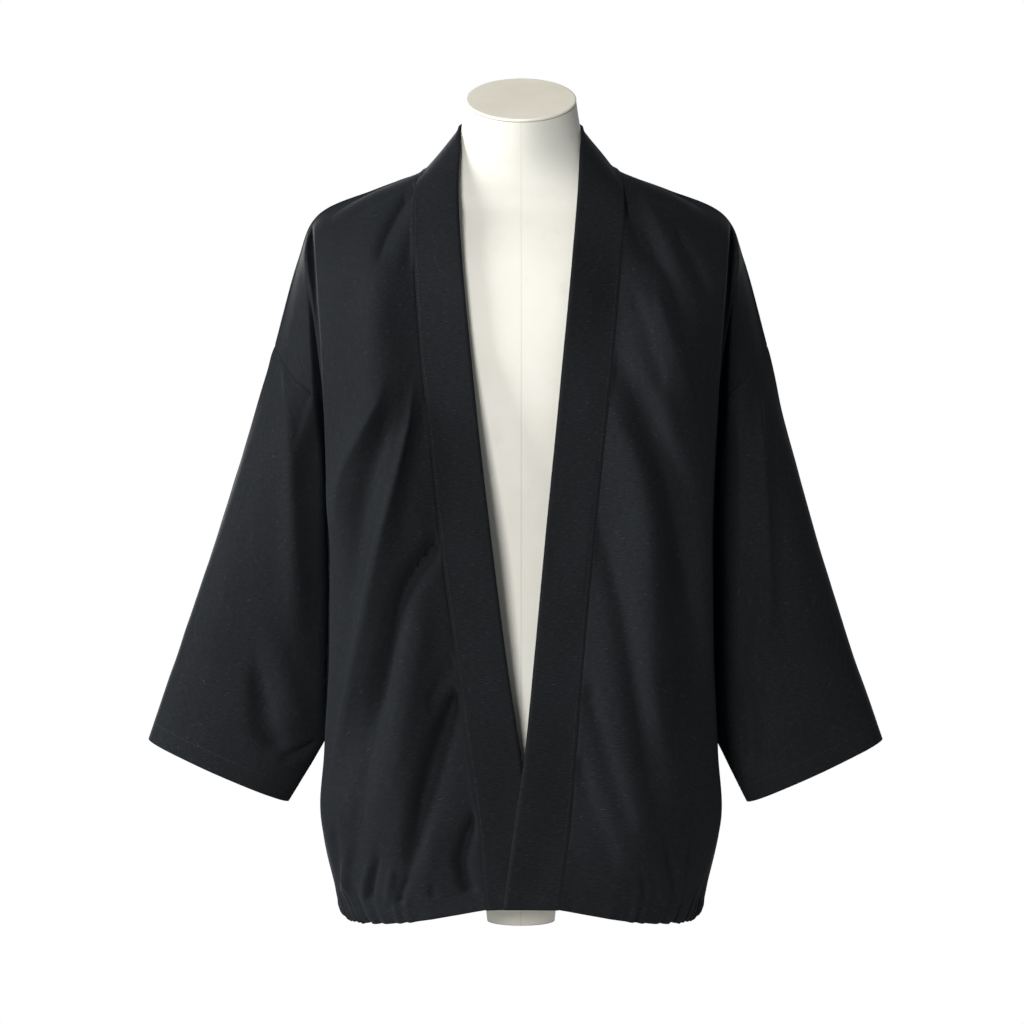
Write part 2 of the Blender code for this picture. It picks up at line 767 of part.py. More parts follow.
def build_form():
    levels = list(FORM_ROWS["height"])
    crowded = 0.710, 0.800
    ends = [
        (a, b) for a, b in zip(levels, levels[1:])
        if b - a > 0.065 or crowded[0] < (a + b) / 2 < crowded[1]
    ]
    levels = sorted(levels + [(a + b) / 2 for a, b in ends])
    ring_solid("form_torso", [form_ring(level, FORM_SEGMENTS) for level in levels], "form")

    lean = np.array([0, -math.sin(CAP_TILT), math.cos(CAP_TILT)])
    base = form_ring(levels[-1], FORM_SEGMENTS) + lean * CAP_GAP
    centre = base.mean(axis=0)
    rings = []
    for rise, grow in ((0, 0.985), (0.35, 1.0), (0.75, 1.0), (1, 0.985)):
        rings.append(centre + (base - centre) * grow + lean * CAP_THICK * rise)
    ring_solid("form_neck_cap", rings, "cap")


main()
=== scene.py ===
"""Render scene for the kimono jacket on its dress form."""
import math

import bpy
import numpy as np
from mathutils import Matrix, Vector


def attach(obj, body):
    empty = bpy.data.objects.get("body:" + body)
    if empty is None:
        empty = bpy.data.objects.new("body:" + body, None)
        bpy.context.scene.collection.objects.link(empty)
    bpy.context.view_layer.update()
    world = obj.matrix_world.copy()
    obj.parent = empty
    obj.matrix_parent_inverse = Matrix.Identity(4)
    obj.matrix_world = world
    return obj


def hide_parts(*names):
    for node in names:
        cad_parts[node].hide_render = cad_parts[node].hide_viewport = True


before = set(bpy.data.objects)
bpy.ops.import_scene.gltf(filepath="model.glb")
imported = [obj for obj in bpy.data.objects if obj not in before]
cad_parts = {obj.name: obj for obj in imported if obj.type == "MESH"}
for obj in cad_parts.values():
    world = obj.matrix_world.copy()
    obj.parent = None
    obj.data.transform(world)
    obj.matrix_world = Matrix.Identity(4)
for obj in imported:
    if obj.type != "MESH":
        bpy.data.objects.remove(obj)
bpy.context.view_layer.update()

# The jacket's shape is worked out here as in the solids, from the same tables, in finer cells.
# Half tables give distances from the middle plane in millimetres; side -1 is the wearer's right,
# face -1 is the front.

MM = 0.001

# Cloth: the solids' walls, which keep its middle surface clear of the form, and the drawn walls
PANEL_WALL = 1.8 * MM
BAND_WALL = 2.6 * MM
FORM_GAP = 1.0 * MM
FRONT_EXTRA = 1.0 * MM
THIN = 1.1 * MM
BAND_THIN = 2.4 * MM
CASING_THIN = 1.2 * MM
SEAM_GAP = 0.06 * MM
FLOOR_GAP = 5.0 * MM

# Cells: the solids' cuts, each split into this many
SPLIT = 7
FRONT_SPLIT = 11
FORM_SPLIT = 5
BAND_SPLIT = 16
ARMHOLE_CUTS = (0, 0.13, 0.36, 0.68, 1.08, 1.55, 2.05, 2.6, 3.2, 3.8, 4.25, 4.55, 4.78, 5)
SIDE_CUTS = (5, 5.1, 5.32, 5.8, 6.4, 7, 7.6, 8.2, 8.8, 9.4, 9.75, 10)
SLEEVE_CUTS = (0, 0.02, 0.055, 0.11, 0.18, 0.26, 0.35, 0.45, 0.55, 0.65, 0.75, 0.84, 0.92, 0.97, 1)
CASING_LEVELS = (10, 10.15, 10.35, 10.55, 10.75, 10.9, 11)
FRONT_CELLS = (4, 4, 3, 3)
NAPE_CELLS = 5
FORM_SEGMENTS = 152
FOLD_STEPS = 24
CREASE_STEPS = 30

# Stations: a front panel's edge, counted from its band seam; rows: the underarm
EDGE_STATION = 4.0
UNDERARM_ROW = 5

# Hem gathers
FRONT_GATHERS = 14
BACK_GATHERS = 36
GATHER_HEIGHT = 2.0 * MM
GATHER_CELLS = 9
GATHER_REACH = 22 * MM

# Drawn surface: shares of the unevenness, seeds of its waves, dips at seams, and the angle of a fold
PANEL_UNEVEN = 0.45
BAND_UNEVEN = 0.35
SEEDS = {"front": 11, "back": 31, "sleeve": 51, "band": 71}
SEAM_DIP, SEAM_REACH = 0.4 * MM, 1.8 * MM
BAND_DIP, BAND_REACH = 0.35 * MM, 1.6 * MM
SLEEVE_DIP, SLEEVE_REACH = 0.5 * MM, 2 * MM
SHARP = math.radians(70)

# Cloth behind the rolled edges of the fronts
DROP_DEPTH = 24 * MM
DROP_WIDTHS = (6 * MM, 13 * MM)
UNDERARM = 0.500

# Creases: shares of the half widths and heights that are read, the pixel in the middle of the
# photo, and the depth of the cloth that they lie on, down to each pixel row
CREASE_POINTS = ("top", "upper", "lower", "low")
PHOTO_SHARES = {"body": (0.92, 1.45), "sleeve": (1, 1.3)}
HIDDEN_SHARES = {"body": (1.5, 1.3), "sleeve": (1, 1.3)}
HIDDEN_START = 0.2
HIDDEN_POWER = 2
MIDDLE_PIXEL = 512
PIXEL = 1.0 * MM
SLEEVE_DEPTH = -44 * MM
BODY_DEPTHS = ((215, -60 * MM), (290, -100 * MM), (400, -125 * MM), (850, -138 * MM), (1024, -122 * MM))

# Stitches
CUFF_ROW = 0.955
PITCH = 3.2 * MM
STITCH = 2.3 * MM
THREAD_WIDE = 0.45 * MM
THREAD_HIGH = 0.14 * MM

# Dress form
CAP_TILT = math.radians(20.5)
CAP_THICK = 3.0 * MM
CAP_GAP = 0.4 * MM
NECK_TILT_FROM = 0.765
NECK_TOP = 0.8215

# Light and camera
AMBIENT = 0.21
WHITE = (1, 1, 1, 1)
CHEST = (0, 0, 0.42)
LIGHTS = (
    ("key", (-1.40, -4.40, 1.6), CHEST, (1.3, 1.3), 165),
    ("side", (-3.3, -1.0, 1.1), CHEST, (1.4, 1.4), 142),
    ("back", (-2.1, 4.0, 1.1), CHEST, (1.6, 1.6), 150),
    ("far side", (2.2, 3.8, 1.2), CHEST, (1.4, 1.4), 25),
    ("bounce", (0, 0, 0.001), (0, 0, 1), (0.8, 0.7), 0.4),
)
DISTANCE = 4.4
ELEVATION = math.radians(5.0)
AIM = Vector((-0.009, 0.0, 0.413))
FLOOR_REACH = 8
FLOOR_LEVEL = -0.0005


def table(text):
    """Reads a table with named columns; lengths come back in metres."""
    plain = ("row", "along", "power", "side", "face", "part", "start", "upright")
    names, *rows = [line.split() for line in text.split("\n") if line.strip()]
    columns = {}
    for name, *cells in zip(names, *rows):
        if name != "part":
            pixels = name.startswith(("px_", "py_"))
            cells = np.array([float(c) for c in cells]) * (1 if pixels or name in plain else MM)
        columns[name] = cells
    return columns


# Form sections: height, half width, depth to the front, depth to the back, roundness power
FORM = table("""
height half_width front back power
0     34   32   32   2.0
9     35   33   33   2.0
19    36   34   34   2.0
27    54   46   46   2.1
37    102  77   75   2.25
60    137  95   92   2.3
100   155  104  99   2.3
160   161  108  104  2.3
230   159  107  102  2.3
310   149  101  94   2.3
385   142  97   90   2.3
460   149  104  94   2.3
530   163  113  100  2.3
590   180  117  105  2.3
635   196  112  107  2.3
668   202  101  105  2.3
688   201  89   99   2.25
703   192  78.5 92   2.2
716   173  70   85   2.2
729   148  66   79   2.2
741   119  61   72   2.1
753   92.5 58.5 66.5 2.0
766   73   57.5 62   2.0
782   63   57.5 59.5 2.0
800   58.2 56.5 57   2.0
821.5 54.8 55.5 55.5 2.0
""")

# Seam between band and panel, and the band's free edge. Row -2 is the centre back,
# 0 the neck point, 10 the top of the hem casing and 11 the hem.
BAND = table("""
row seam_x_right seam_x_left seam_y seam_z free_x_right free_x_left free_y_right free_y_left free_z
-2 0     0    80   757  0     0     64.5   64.5   803
-1 64    64   60   756  42.5  42.5  51     51     801
0  92.5  91   12   753  60.2  60.4  0      0      795
1  103.2 99.5 -46  739  61    58.5  -37    -37    772
2  105.6 99.9 -83  702  61.8  55.3  -77    -77    725
3  102.7 94.6 -108 640  56.8  48.5  -118   -118   651
4  97.2  88.2 -124 567  49    40.8  -128   -128   571
5  89.4  80.9 -130 499  41.9  34.2  -132   -132   501
6  78.9  70.7 -133 397  29.9  24    -134   -134   397
7  64.4  60.5 -134 285  15.8  13.8  -134.5 -136   285
8  51.9  53.3 -134 192  2.2   4.6   -132   -138   192
9  42.2  47.6 -132 118  -6.8  -5.6  -130   -137   118
10 36.4  38.8 -129 51.5 -11.5 -14.5 -128   -134   53
11 34.6  36.8 -128 33.5 -12.5 -16.4 -127   -133.5 35
""")

# Front panel from the shoulder line, row 0, to the hem, row 11
FRONT = table("""
row chest_x chest_y chest_z crest_x crest_y crest_z flank_x flank_y flank_z
0  146   8    734  201   2    709.5 222   0   663
1  150.7 -50  713  206   -32  685   218   -24 646
2  151.3 -88  672  201   -66  640   209   -46 616
3  148.5 -120 614  195.5 -86  584   199   -58 567
4  144.3 -136 545  190.5 -97  526   187   -66 520
5  139.5 -142 481  188.6 -102 465   171   -56 448
6  134   -144 393  185.8 -104 388   167   -55 381
7  128   -142 284  187.4 -97  281   169   -52 279
8  124   -138 189  190.5 -84  185   183   -42 183
9  121   -134 117  188   -80  113   198   -42 111
10 113   -114 36.5 161   -68  26.5  179   -34 24
11 108   -112 18.5 152   -62  8.5   169.5 -30 6.5
""")

# Back panel on the same rows
BACK = table("""
row crest_x crest_y crest_z blade_x blade_y blade_z neck_x neck_y neck_z nape_x nape_y nape_z mid_x mid_y mid_z
0  201 2  709.5 146 8   734 92  12  753 64 60  756 0 80  757
1  205 34 688   150 54  719 98  64  739 60 82  739 0 91  739
2  199 72 645   150 96  680 100 106 699 55 110 704 0 111 706
3  192 92 590   146 116 615 98  124 640 50 127 646 0 127 648
4  187 99 530   142 122 552 94  130 570 48 132 574 0 131 576
5  184 97 462   138 122 480 90  130 495 45 131 500 0 130 502
6  180 98 388   134 122 393 86  128 397 43 129 398 0 128 398
7  182 92 280   132 119 283 84  125 285 42 127 285 0 126 285
8  186 82 184   132 115 188 82  124 190 41 127 191 0 127 192
9  187 76 112   133 112 115 81  122 116 40 126 117 0 126 118
10 160 67 26.5  115 99  32  72  112 38  36 118 42  0 119 43
11 150 62 8.5   110 96  14  70  109 20  35 115 24  0 116 25
""")
BACK_FLANK = table("""
row flank_x flank_y flank_z
0  222 0  663
1  218 24 646
2  210 48 616
3  199 60 567
4  187 67 520
5  170 54 448
6  166 54 381
7  168 50 279
8  181 42 183
9  196 40 111
10 177 36 24
11 167 33 6.5
""")

# Armhole from the shoulder, row 0, to the underarm, row 5, then the side seam down to the hem
ARMHOLE = table("""
row x y z
0   245.2 0  579
1   234   24 562
2   222   40 547
3   208.5 46 536
4   194   45 516
4.6 177   31 462
5   170   0  434
""")
SIDE = table("""
row x z
5   170 434
5.1 164 430
5.3 161 420
6   160 373
7   162 277
8   173 182
9   192 110
10  183 24
11  174 6.5
""")

# Sleeve: outer and inner edge, and half depth to the front and back, along its length
SLEEVE = table("""
along outer_x_right outer_x_left outer_z inner_x_right inner_x_left inner_z front back
0     245.2 245.2 579   170   170 434   46 46
0.02  247.6 247.2 571   177   177 430.5 46 46
0.055 251.5 250.6 557   181   181 420   46 46
0.16  264.5 259.5 515   180   180 390   45 46
0.33  282.8 275.8 455   179   179 335   44 45
0.58  314.4 305.4 354.7 178   178 262   42 42
0.76  342   331   274   187   187 204   39 40
0.89  359   348   227   210   208 161   37 38
1     373.6 362.7 184.6 233.3 228 122   35 35
""")

# Folds: three points in the front view, half width, and height: raised above zero
FOLDS = table("""
side face part x_top z_top x_mid z_mid x_low z_low wide high
-1 -1 body   130 560 166 460 186 366 17 4.0
-1 -1 body   106 546 139 400 182 150 13 4.5
-1 -1 body   128 470 160 330 176 240 13 -3.5
-1 -1 body   62  250 80  190 93  100 17 -5.0
1  -1 body   108 715 136 630 165 585 15 -3.5
1  -1 body   98  556 152 430 172 190 17 -6.0
1  -1 body   118 430 134 300 150 170 18 3.5
-1 1  body   60  640 95  450 120 200 18 4.5
-1 1  body   25  560 45  380 60  150 16 -4.0
1  1  body   62  650 90  430 125 210 18 4.5
1  1  body   20  520 48  360 55  130 16 -4.0
-1 -1 sleeve 233 590 230 470 219 260 13 4.0
-1 -1 sleeve 262 270 257 215 242 150 12 -3.5
1  -1 sleeve 232 590 236 450 244 300 14 3.5
1  -1 sleeve 226 250 226 200 229 150 12 -3.5
-1 1  sleeve 240 560 245 420 250 250 14 4.0
1  1  sleeve 240 560 242 420 246 250 14 4.0
""")

# Finer creases of the front, drawn only in the cloth's surface, as read from the photo: four
# pixels each, half widths on the two sides in millimetres, and height. Start is the share of the
# length over which a crease grows; a low power gives it a sharper crest.
PHOTO_CREASES = table("""
side part px_top py_top px_upper py_upper px_lower py_lower px_low py_low left right high start power
-1 body   388 372 366 428 346 475 332 548 13 13 4.6 0.3 1.5
-1 body   386 388 364 434 345 477 334 535 4.5 5 1.7 0.2 1.6
-1 body   396 396 379 448 362 520 343 655 15 9 -4.4 0.25 2
-1 body   416 372 386 510 356 660 323 815 4.5 13 4.6 0.14 1.25
-1 body   413 392 390 497 363 635 334 785 2.6 3.4 1.45 0.1 1.5
-1 body   440 542 406 594 388 660 366 775 12 9 -8.8 0.04 1.8
-1 body   372 745 362 800 352 850 348 890 10 10 -2.4 0.2 2
-1 body   458 660 445 674 435 693 427 718 6 7 -2.6 0.05 2
-1 body   458 695 441 745 423 815 402 905 12 9 -7.6 0.04 1.8
-1 body   481 808 466 843 463 870 478 912 7 7 -5.2 0.15 2
-1 body   430 600 414 670 396 750 376 830 18 14 2.4 0.2 2
-1 body   428 394 420 440 408 500 396 560 12 10 -1.4 0.12 2
-1 body   413 184 398 210 384 238 375 270 6 11 -4.2 0.08 1.6
-1 body   424 196 416 224 410 250 404 280 7 8 -1.6 0.2 2
-1 body   353 832 346 860 344 885 343 912 4 5 2.8 0.3 2
-1 body   373 858 366 880 364 893 362 912 3.5 4 2.4 0.3 2
-1 body   382 846 375 870 371 890 369 912 4 4.5 -2.8 0.3 2
-1 body   395 864 390 880 388 893 388 912 4 4 2 0.3 2
-1 body   409 876 404 888 402 899 401 912 4 4 -2.4 0.3 2
-1 body   430 880 432 890 434 900 435 912 5 5 -1.4 0.3 2
-1 body   335 826 334 850 335 880 338 905 4 4 -2 0.3 2
-1 body   350 250 352 300 346 340 342 390 16 16 -1.6 0.3 2
-1 body   395 215 384 260 376 310 374 350 16 20 1.2 0.3 2
 1 body   620 182 642 230 668 273 698 338 12 11 -5.6 0.04 1.7
 1 body   638 188 664 232 690 275 714 318 9 9 0.8 0.1 2
 1 body   672 218 690 248 702 275 715 308 9 6 -3.4 0.25 2
 1 body   654 290 669 330 682 372 698 432 10 10 2.6 0.2 2
 1 body   630 283 644 320 655 360 668 402 12 7 -2.2 0.2 2
 1 body   612 348 650 426 681 520 706 700 20 15 -9 0.28 1.8
 1 body   606 392 632 452 650 522 670 645 14 10 0.8 0.2 2
 1 body   594 516 619 600 637 705 672 865 13 14 -5.6 0.26 1.8
 1 body   640 640 655 700 668 760 686 820 14 12 1.6 0.3 2
 1 body   588 682 603 740 618 790 640 852 13 8 -2.6 0.06 2
 1 body   578 752 590 800 604 840 622 880 13 9 -1.8 0.1 2
 1 body   663 838 671 868 676 890 680 912 5 4 -3 0.3 2
 1 body   698 822 692 856 688 885 685 912 6 6 -1.8 0.3 2
 1 body   690 840 683 866 681 890 682 912 5 5.5 1.3 0.3 2
 1 body   655 862 660 882 663 898 665 912 4 4 1.8 0.3 2
 1 body   640 872 644 886 647 900 648 912 4 4 -1.6 0.3 2
-1 sleeve 284 356 288 420 292 510 296 660 6 10 2.8 0.1 1.4
-1 sleeve 252 640 260 700 268 735 292 758 7 9 -5.4 0.4 1.7
-1 sleeve 316 744 303 752 292 757 276 762 4 5 -4.2 0.1 1.6
-1 sleeve 256 590 276 650 294 700 309 738 16 8 1.8 0.4 2
-1 sleeve 246 480 228 560 212 640 200 720 22 16 1.2 0.4 2
 1 sleeve 757 384 764 470 768 560 772 660 4 5 2.8 0.12 1.4
 1 sleeve 740 640 747 700 751 740 752 780 7 8 -4.4 0.4 1.8
 1 sleeve 735 410 733 450 731 510 730 580 5 6 -2 0.1 2
 1 sleeve 783 480 797 560 812 640 826 720 16 20 1.2 0.4 2
""")

# Finer creases of the back, guessed, with places like those of the folds
HIDDEN_CREASES = table("""
side part x_top z_top x_upper z_upper x_lower z_lower x_low z_low left right high
-1 body   64 712 84 640 104 560 118 440 16 7 3.4
-1 body   70 700 96 612 122 520 150 430 6 13 -4.6
-1 body   112 690 128 610 142 530 160 440 6 14 -3.2
-1 body   20 560 34 440 52 320 74 190 7 15 -4.6
-1 body   8 500 16 390 30 280 50 160 15 7 2.4
-1 body   96 420 108 330 122 230 134 120 7 14 -4.0
-1 body   50 200 62 140 72 90 80 40 5 9 -2.4
-1 body   110 110 116 80 118 55 120 30 4 5 -2.0
-1 body   30 120 34 90 36 66 38 42 4 5 1.8
 1 body   62 716 82 648 104 566 122 450 7 15 3.2
 1 body   68 700 94 620 120 528 150 436 13 6 -4.4
 1 body   110 688 128 606 142 524 160 436 14 6 -3.0
 1 body   26 520 38 410 56 300 76 176 15 7 -4.4
 1 body   94 430 106 336 120 236 132 124 14 7 -4.0
 1 body   46 210 58 150 68 96 78 42 9 5 -2.4
 1 body   104 112 110 82 114 56 116 30 5 4 -2.0
 1 body   12 116 15 90 17 66 18 44 5 4 1.7
-1 sleeve 236 590 235 500 238 410 246 270 6 13 3.0
-1 sleeve 288 440 292 370 298 300 306 210 9 6 -2.2
-1 sleeve 262 280 258 240 250 200 242 150 6 9 -2.4
 1 sleeve 236 590 236 500 238 410 244 270 13 6 3.0
 1 sleeve 280 440 286 370 290 300 298 210 6 9 -2.2
 1 sleeve 256 276 252 236 246 198 240 150 9 6 -2.4
""")

# Soft unevenness of hanging cloth: wave length, height and how much steeper the waves stand
# across the cloth than along it
UNEVEN = table("""
length height upright
120 1.00 2.6
70  0.50 2.2
38  0.22 1.6
21  0.09 1.2
""")

# The fronts roll over and back beside the sleeves: distance of that edge, by height
EDGE = table("""
height edge
190 193.5
257 192
341 190.5
509 192.5
555 194
612 198
649 201.5
694 206
730 208
""")


def curve(knots, rows, at):
    """Smooth curve through the rows at the knots, read at the places in at."""
    knots, rows, at = (np.asarray(values, float) for values in (knots, rows, at))
    slope = np.gradient(rows, knots, axis=0)
    cell = np.clip(np.searchsorted(knots, at, side="right") - 1, 0, len(knots) - 2)
    step = knots[cell + 1] - knots[cell]
    t = (at - knots[cell]) / step
    extra = (1,) * (rows.ndim - 1)
    t = t.reshape(t.shape + extra)
    step = step.reshape(step.shape + extra)
    return (
        (2 * t**3 - 3 * t**2 + 1) * rows[cell]
        + (t**3 - 2 * t**2 + t) * step * slope[cell]
        + (3 * t**2 - 2 * t**3) * rows[cell + 1]
        + (t**3 - t**2) * step * slope[cell + 1]
    )


def smooth_step(low, high, value):
    t = np.clip((value - low) / (high - low), 0, 1)
    return t * t * (3 - 2 * t)


def named(rows, *names):
    return np.stack([rows[name] for name in names], -1)


def lines_of(rows, at, *stations):
    """One line for each named station of a panel, read at the given rows."""
    points = [named(rows, name + "_x", name + "_y", name + "_z") for name in stations]
    return [curve(rows["row"], line, at) for line in points]


# Dress form

FORM_VALUES = named(FORM, "half_width", "front", "back", "power")


def form_tilt(level):
    """Slope of the form's rings, which lean forward towards the top of the neck."""
    return math.tan(CAP_TILT) * smooth_step(NECK_TILT_FROM, NECK_TOP, level)


def form_level(points):
    level = points[..., 2].copy()
    for _ in range(4):
        level = points[..., 2] - form_tilt(level) * points[..., 1]
    return level


def form_excess(points):
    """Below zero inside the form, above zero outside it."""
    level = np.clip(form_level(points), FORM["height"][0], FORM["height"][-1])
    values = curve(FORM["height"], FORM_VALUES, level)
    deep = np.where(points[..., 1] < 0, values[..., 1], values[..., 2])
    power = values[..., 3]
    sideways = np.abs(points[..., 0]) / values[..., 0]
    return (sideways**power + (np.abs(points[..., 1]) / deep) ** power) ** (1 / power) - 1


def clear_of_form(points, wall):
    """Moves cloth points outwards until their wall is clear of the form."""
    points = points.copy()
    tiny = 0.05 * MM
    need = wall / 2 + FORM_GAP + FRONT_EXTRA * smooth_step(0, 0.02, -points[..., 1])
    for _ in range(6):
        value = form_excess(points)
        slope = np.zeros_like(points)
        for axis in range(3):
            shift = np.zeros(3)
            shift[axis] = tiny
            slope[..., axis] = (form_excess(points + shift) - form_excess(points - shift)) / (2 * tiny)
        size = np.maximum(np.linalg.norm(slope, axis=-1), 1e-6)
        move = np.clip(need - value / size, 0, 4 * MM)
        near = (points[..., 2] < NECK_TOP) & (move > 0)
        points += np.where(near[..., None], slope / size[..., None] * move[..., None], 0)
    return points


# Folds and creases

def rows_of(columns):
    """Rows of a table, each with its named cells."""
    return [dict(zip(columns, cells)) for cells in zip(*columns.values())]


def rows_for(rows, *key):
    """Those rows with the given side, face and part."""
    return [row for row in rows if (row["side"], row["face"], row["part"]) == key]


def from_photo(across, down, part):
    """Distance from the middle plane and height of a pixel of the photo, to the millimetre."""
    deep = SLEEVE_DEPTH if part == "sleeve" else next(y for row, y in BODY_DEPTHS if down < row)
    rise, run = math.sin(ELEVATION), math.cos(ELEVATION)
    aside, up = (across - MIDDLE_PIXEL) * PIXEL, (MIDDLE_PIXEL - down) * PIXEL
    z = (up * (DISTANCE + deep * run) - DISTANCE * deep * rise) / (DISTANCE * run + up * rise)
    away = DISTANCE + deep * run - z * rise
    return round(abs(AIM.x + aside * away / DISTANCE) / MM) * MM, round((AIM.z + z) / MM) * MM


def sized(row, shares):
    """Half widths and height of a crease by their shares, to a tenth of a millimetre."""
    wide, high = shares[row["part"]]
    pairs = (("left", wide), ("right", wide), ("high", high))
    return {name: round(float(row[name] / MM) * share, 1) * MM for name, share in pairs}


def photo_crease(row):
    made = {**row, "face": -1, **sized(row, PHOTO_SHARES)}
    for point in CREASE_POINTS:
        place = from_photo(row["px_" + point], row["py_" + point], row["part"])
        made["x_" + point], made["z_" + point] = place
    return made


def hidden_crease(row):
    return {**row, "face": 1, "start": HIDDEN_START, "power": HIDDEN_POWER, **sized(row, HIDDEN_SHARES)}


FOLD_ROWS = rows_of(FOLDS)
CREASES = [photo_crease(row) for row in rows_of(PHOTO_CREASES)]
CREASES += [hidden_crease(row) for row in rows_of(HIDDEN_CREASES)]


def fold_path(row, names, steps):
    points = np.array([[row[a + "_" + b] for a in "xz"] for b in names])
    return curve(np.arange(len(names)), points, np.linspace(0, len(names) - 1, steps + 1))


def along_path(x, z, path):
    """Distance to a path, place along it from 0 to 1, and which hand of it, for each point."""
    start, step = path[:-1], np.diff(path, axis=0)
    gap = np.stack([x, z], -1)[..., None, :] - start
    share = np.clip((gap * step).sum(-1) / (step**2).sum(-1), 0, 1)
    gap = gap - share[..., None] * step
    away = np.linalg.norm(gap, axis=-1)
    nearest = away.argmin(-1)
    along = (nearest + np.take_along_axis(share, nearest[..., None], -1)[..., 0]) / len(step)
    gap = np.take_along_axis(gap, nearest[..., None, None], axis=-2)[..., 0, :]
    hand = gap[..., 0] * step[nearest][..., 1] - gap[..., 1] * step[nearest][..., 0]
    return away.min(-1), along, hand


def fold_rise(x, z, side, face, part):
    """Height of the folds at points of the front view, x measured from the middle."""
    rise = np.zeros_like(x)
    for row in rows_for(FOLD_ROWS, side, face, part):
        away, along, _ = along_path(x, z, fold_path(row, ("top", "mid", "low"), FOLD_STEPS))
        ends = smooth_step(0, 0.25, along) * smooth_step(0, 0.25, 1 - along)
        rise += row["high"] * np.exp(-((away / row["wide"]) ** 2)) * ends
    return rise


def crease_rise(x, z, side, face, part):
    """Height of the finer creases, narrower towards their start."""
    rise = np.zeros_like(x)
    for row in rows_for(CREASES, side, face, part):
        path = fold_path(row, CREASE_POINTS, CREASE_STEPS) * np.array([side, 1])
        away, along, hand = along_path(x, z, path)
        lean = smooth_step(-2 * MM, 2 * MM, hand / np.linalg.norm(path[-1] - path[0]) * CREASE_STEPS)
        width = row["left"] * lean + row["right"] * (1 - lean)
        width = width * (0.6 + 0.4 * smooth_step(0, 0.5, along))
        ends = smooth_step(0, row["start"], along) * smooth_step(0, 0.25, 1 - along)
        rise += row["high"] * np.exp(-((away / width) ** row["power"])) * ends
    return rise


def uneven_rise(across, down, seed):
    """Sum of seeded waves over the flat cloth."""
    dice = np.random.default_rng(seed)
    rise = np.zeros_like(across)
    for length, height, upright in zip(*UNEVEN.values()):
        for _ in range(7):
            turn = dice.uniform(0, math.pi)
            pace = 2 * math.pi / (length * dice.uniform(0.7, 1.4))
            lean_across = math.cos(turn) * upright / 1.6
            lean_down = math.sin(turn) / upright
            size = height / math.sqrt(7) * dice.uniform(0.6, 1.4)
            rise += size * np.sin(pace * (across * lean_across + down * lean_down) + dice.uniform(0, 6.3))
    return rise


def drop_behind_edge(grid, body):
    """How far the cloth stands back, towards +Y, just outside the rolled edge of a front.

    The body's own cloth does so only above the underarm.
    """
    x, y, z = np.abs(grid[..., 0]), grid[..., 1], grid[..., 2]
    past = x - np.interp(z, EDGE["height"], EDGE["edge"])
    deep = DROP_DEPTH * (0.6 + 0.4 * smooth_step(UNDERARM - 0.08, UNDERARM + 0.02, z))
    grow = smooth_step(UNDERARM - 0.05, UNDERARM + 0.05, z)
    width = DROP_WIDTHS[0] + (DROP_WIDTHS[1] - DROP_WIDTHS[0]) * grow
    place = smooth_step(-1.5 * MM, 1.5 * MM, past) * (1 - smooth_step(1.5 * MM, width, past))
    level = smooth_step(0.735, 0.690, z)
    if body:
        level = level * smooth_step(UNDERARM - 0.03, UNDERARM, z)
    return deep * place * level * smooth_step(0, -0.035, y)


def with_folds(points, side, face, part):
    """Moves points to the front or back by the folds, fading out towards the side."""
    points = points.copy()
    rise = fold_rise(np.abs(points[..., 0]), points[..., 2], side, face, part)
    points[..., 1] += face * rise * smooth_step(0.012, 0.05, face * points[..., 1])
    return points


# Shapes of the jacket's half, x > 0

def band_lines(side, at):
    """Seam and free edge of a band at the given rows, with the other half as its neighbour."""
    who = "right" if side < 0 else "left"
    seam = named(BAND, "seam_x_" + who, "seam_y", "seam_z")
    free = named(BAND, "free_x_" + who, "free_y_" + who, "free_z")
    knots = np.r_[BAND["row"][0] - 1, BAND["row"]]
    return [curve(knots, np.vstack([line[1] * np.array([-1, 1, 1]), line]), at) for line in (seam, free)]


def edge_line(at, face):
    """Armhole above the underarm and side seam below it."""
    at = np.asarray(at, float)
    rows = named(ARMHOLE, "x", "y", "z")
    knots = ARMHOLE["row"]
    rows = np.vstack([rows, rows[-2] * np.array([1, -1, 1])])
    knots = np.r_[knots, 2 * knots[-1] - knots[-2]]
    arm = curve(knots, rows, np.minimum(at, UNDERARM_ROW))
    arm[..., 1] *= face
    low = curve(SIDE["row"], named(SIDE, "x", "z"), np.maximum(at, UNDERARM_ROW))
    side = np.stack([low[..., 0], np.zeros_like(low[..., 0]), low[..., 1]], -1)
    return np.where((at < UNDERARM_ROW)[..., None], arm, side)


def beyond_edge(edge, flank, other_flank, at):
    """Neighbour past the edge: straight on at the armhole, the other panel at the side seam."""
    share = smooth_step(4.6, 5.4, np.asarray(at, float))[..., None]
    return (1 - share) * (2 * edge - flank) + share * other_flank


def front_half(side, at, across):
    """Front panel from its band seam to its edge, station by station."""
    lines = [band_lines(side, at)[0], *lines_of(FRONT, at, "chest", "crest", "flank"), edge_line(at, -1)]
    other, = lines_of(BACK_FLANK, at, "flank")
    lines.append(beyond_edge(lines[4], lines[3], other, at))
    return np.swapaxes(curve(np.arange(6), np.stack(lines), across), 0, 1)


def back_half(at, across):
    """Back panel from its edge to the middle."""
    other, = lines_of(FRONT, at, "flank")
    flank, = lines_of(BACK_FLANK, at, "flank")
    edge = edge_line(at, 1)
    lines = [beyond_edge(edge, flank, other, at), edge, flank]
    lines += lines_of(BACK, at, "crest", "blade", "neck", "nape", "mid")
    lines.append(lines[-2] * np.array([-1, 1, 1]))
    return np.swapaxes(curve(np.arange(-1, 8), np.stack(lines), across), 0, 1)


def signed(points, side):
    return points * np.array([side, 1, 1])


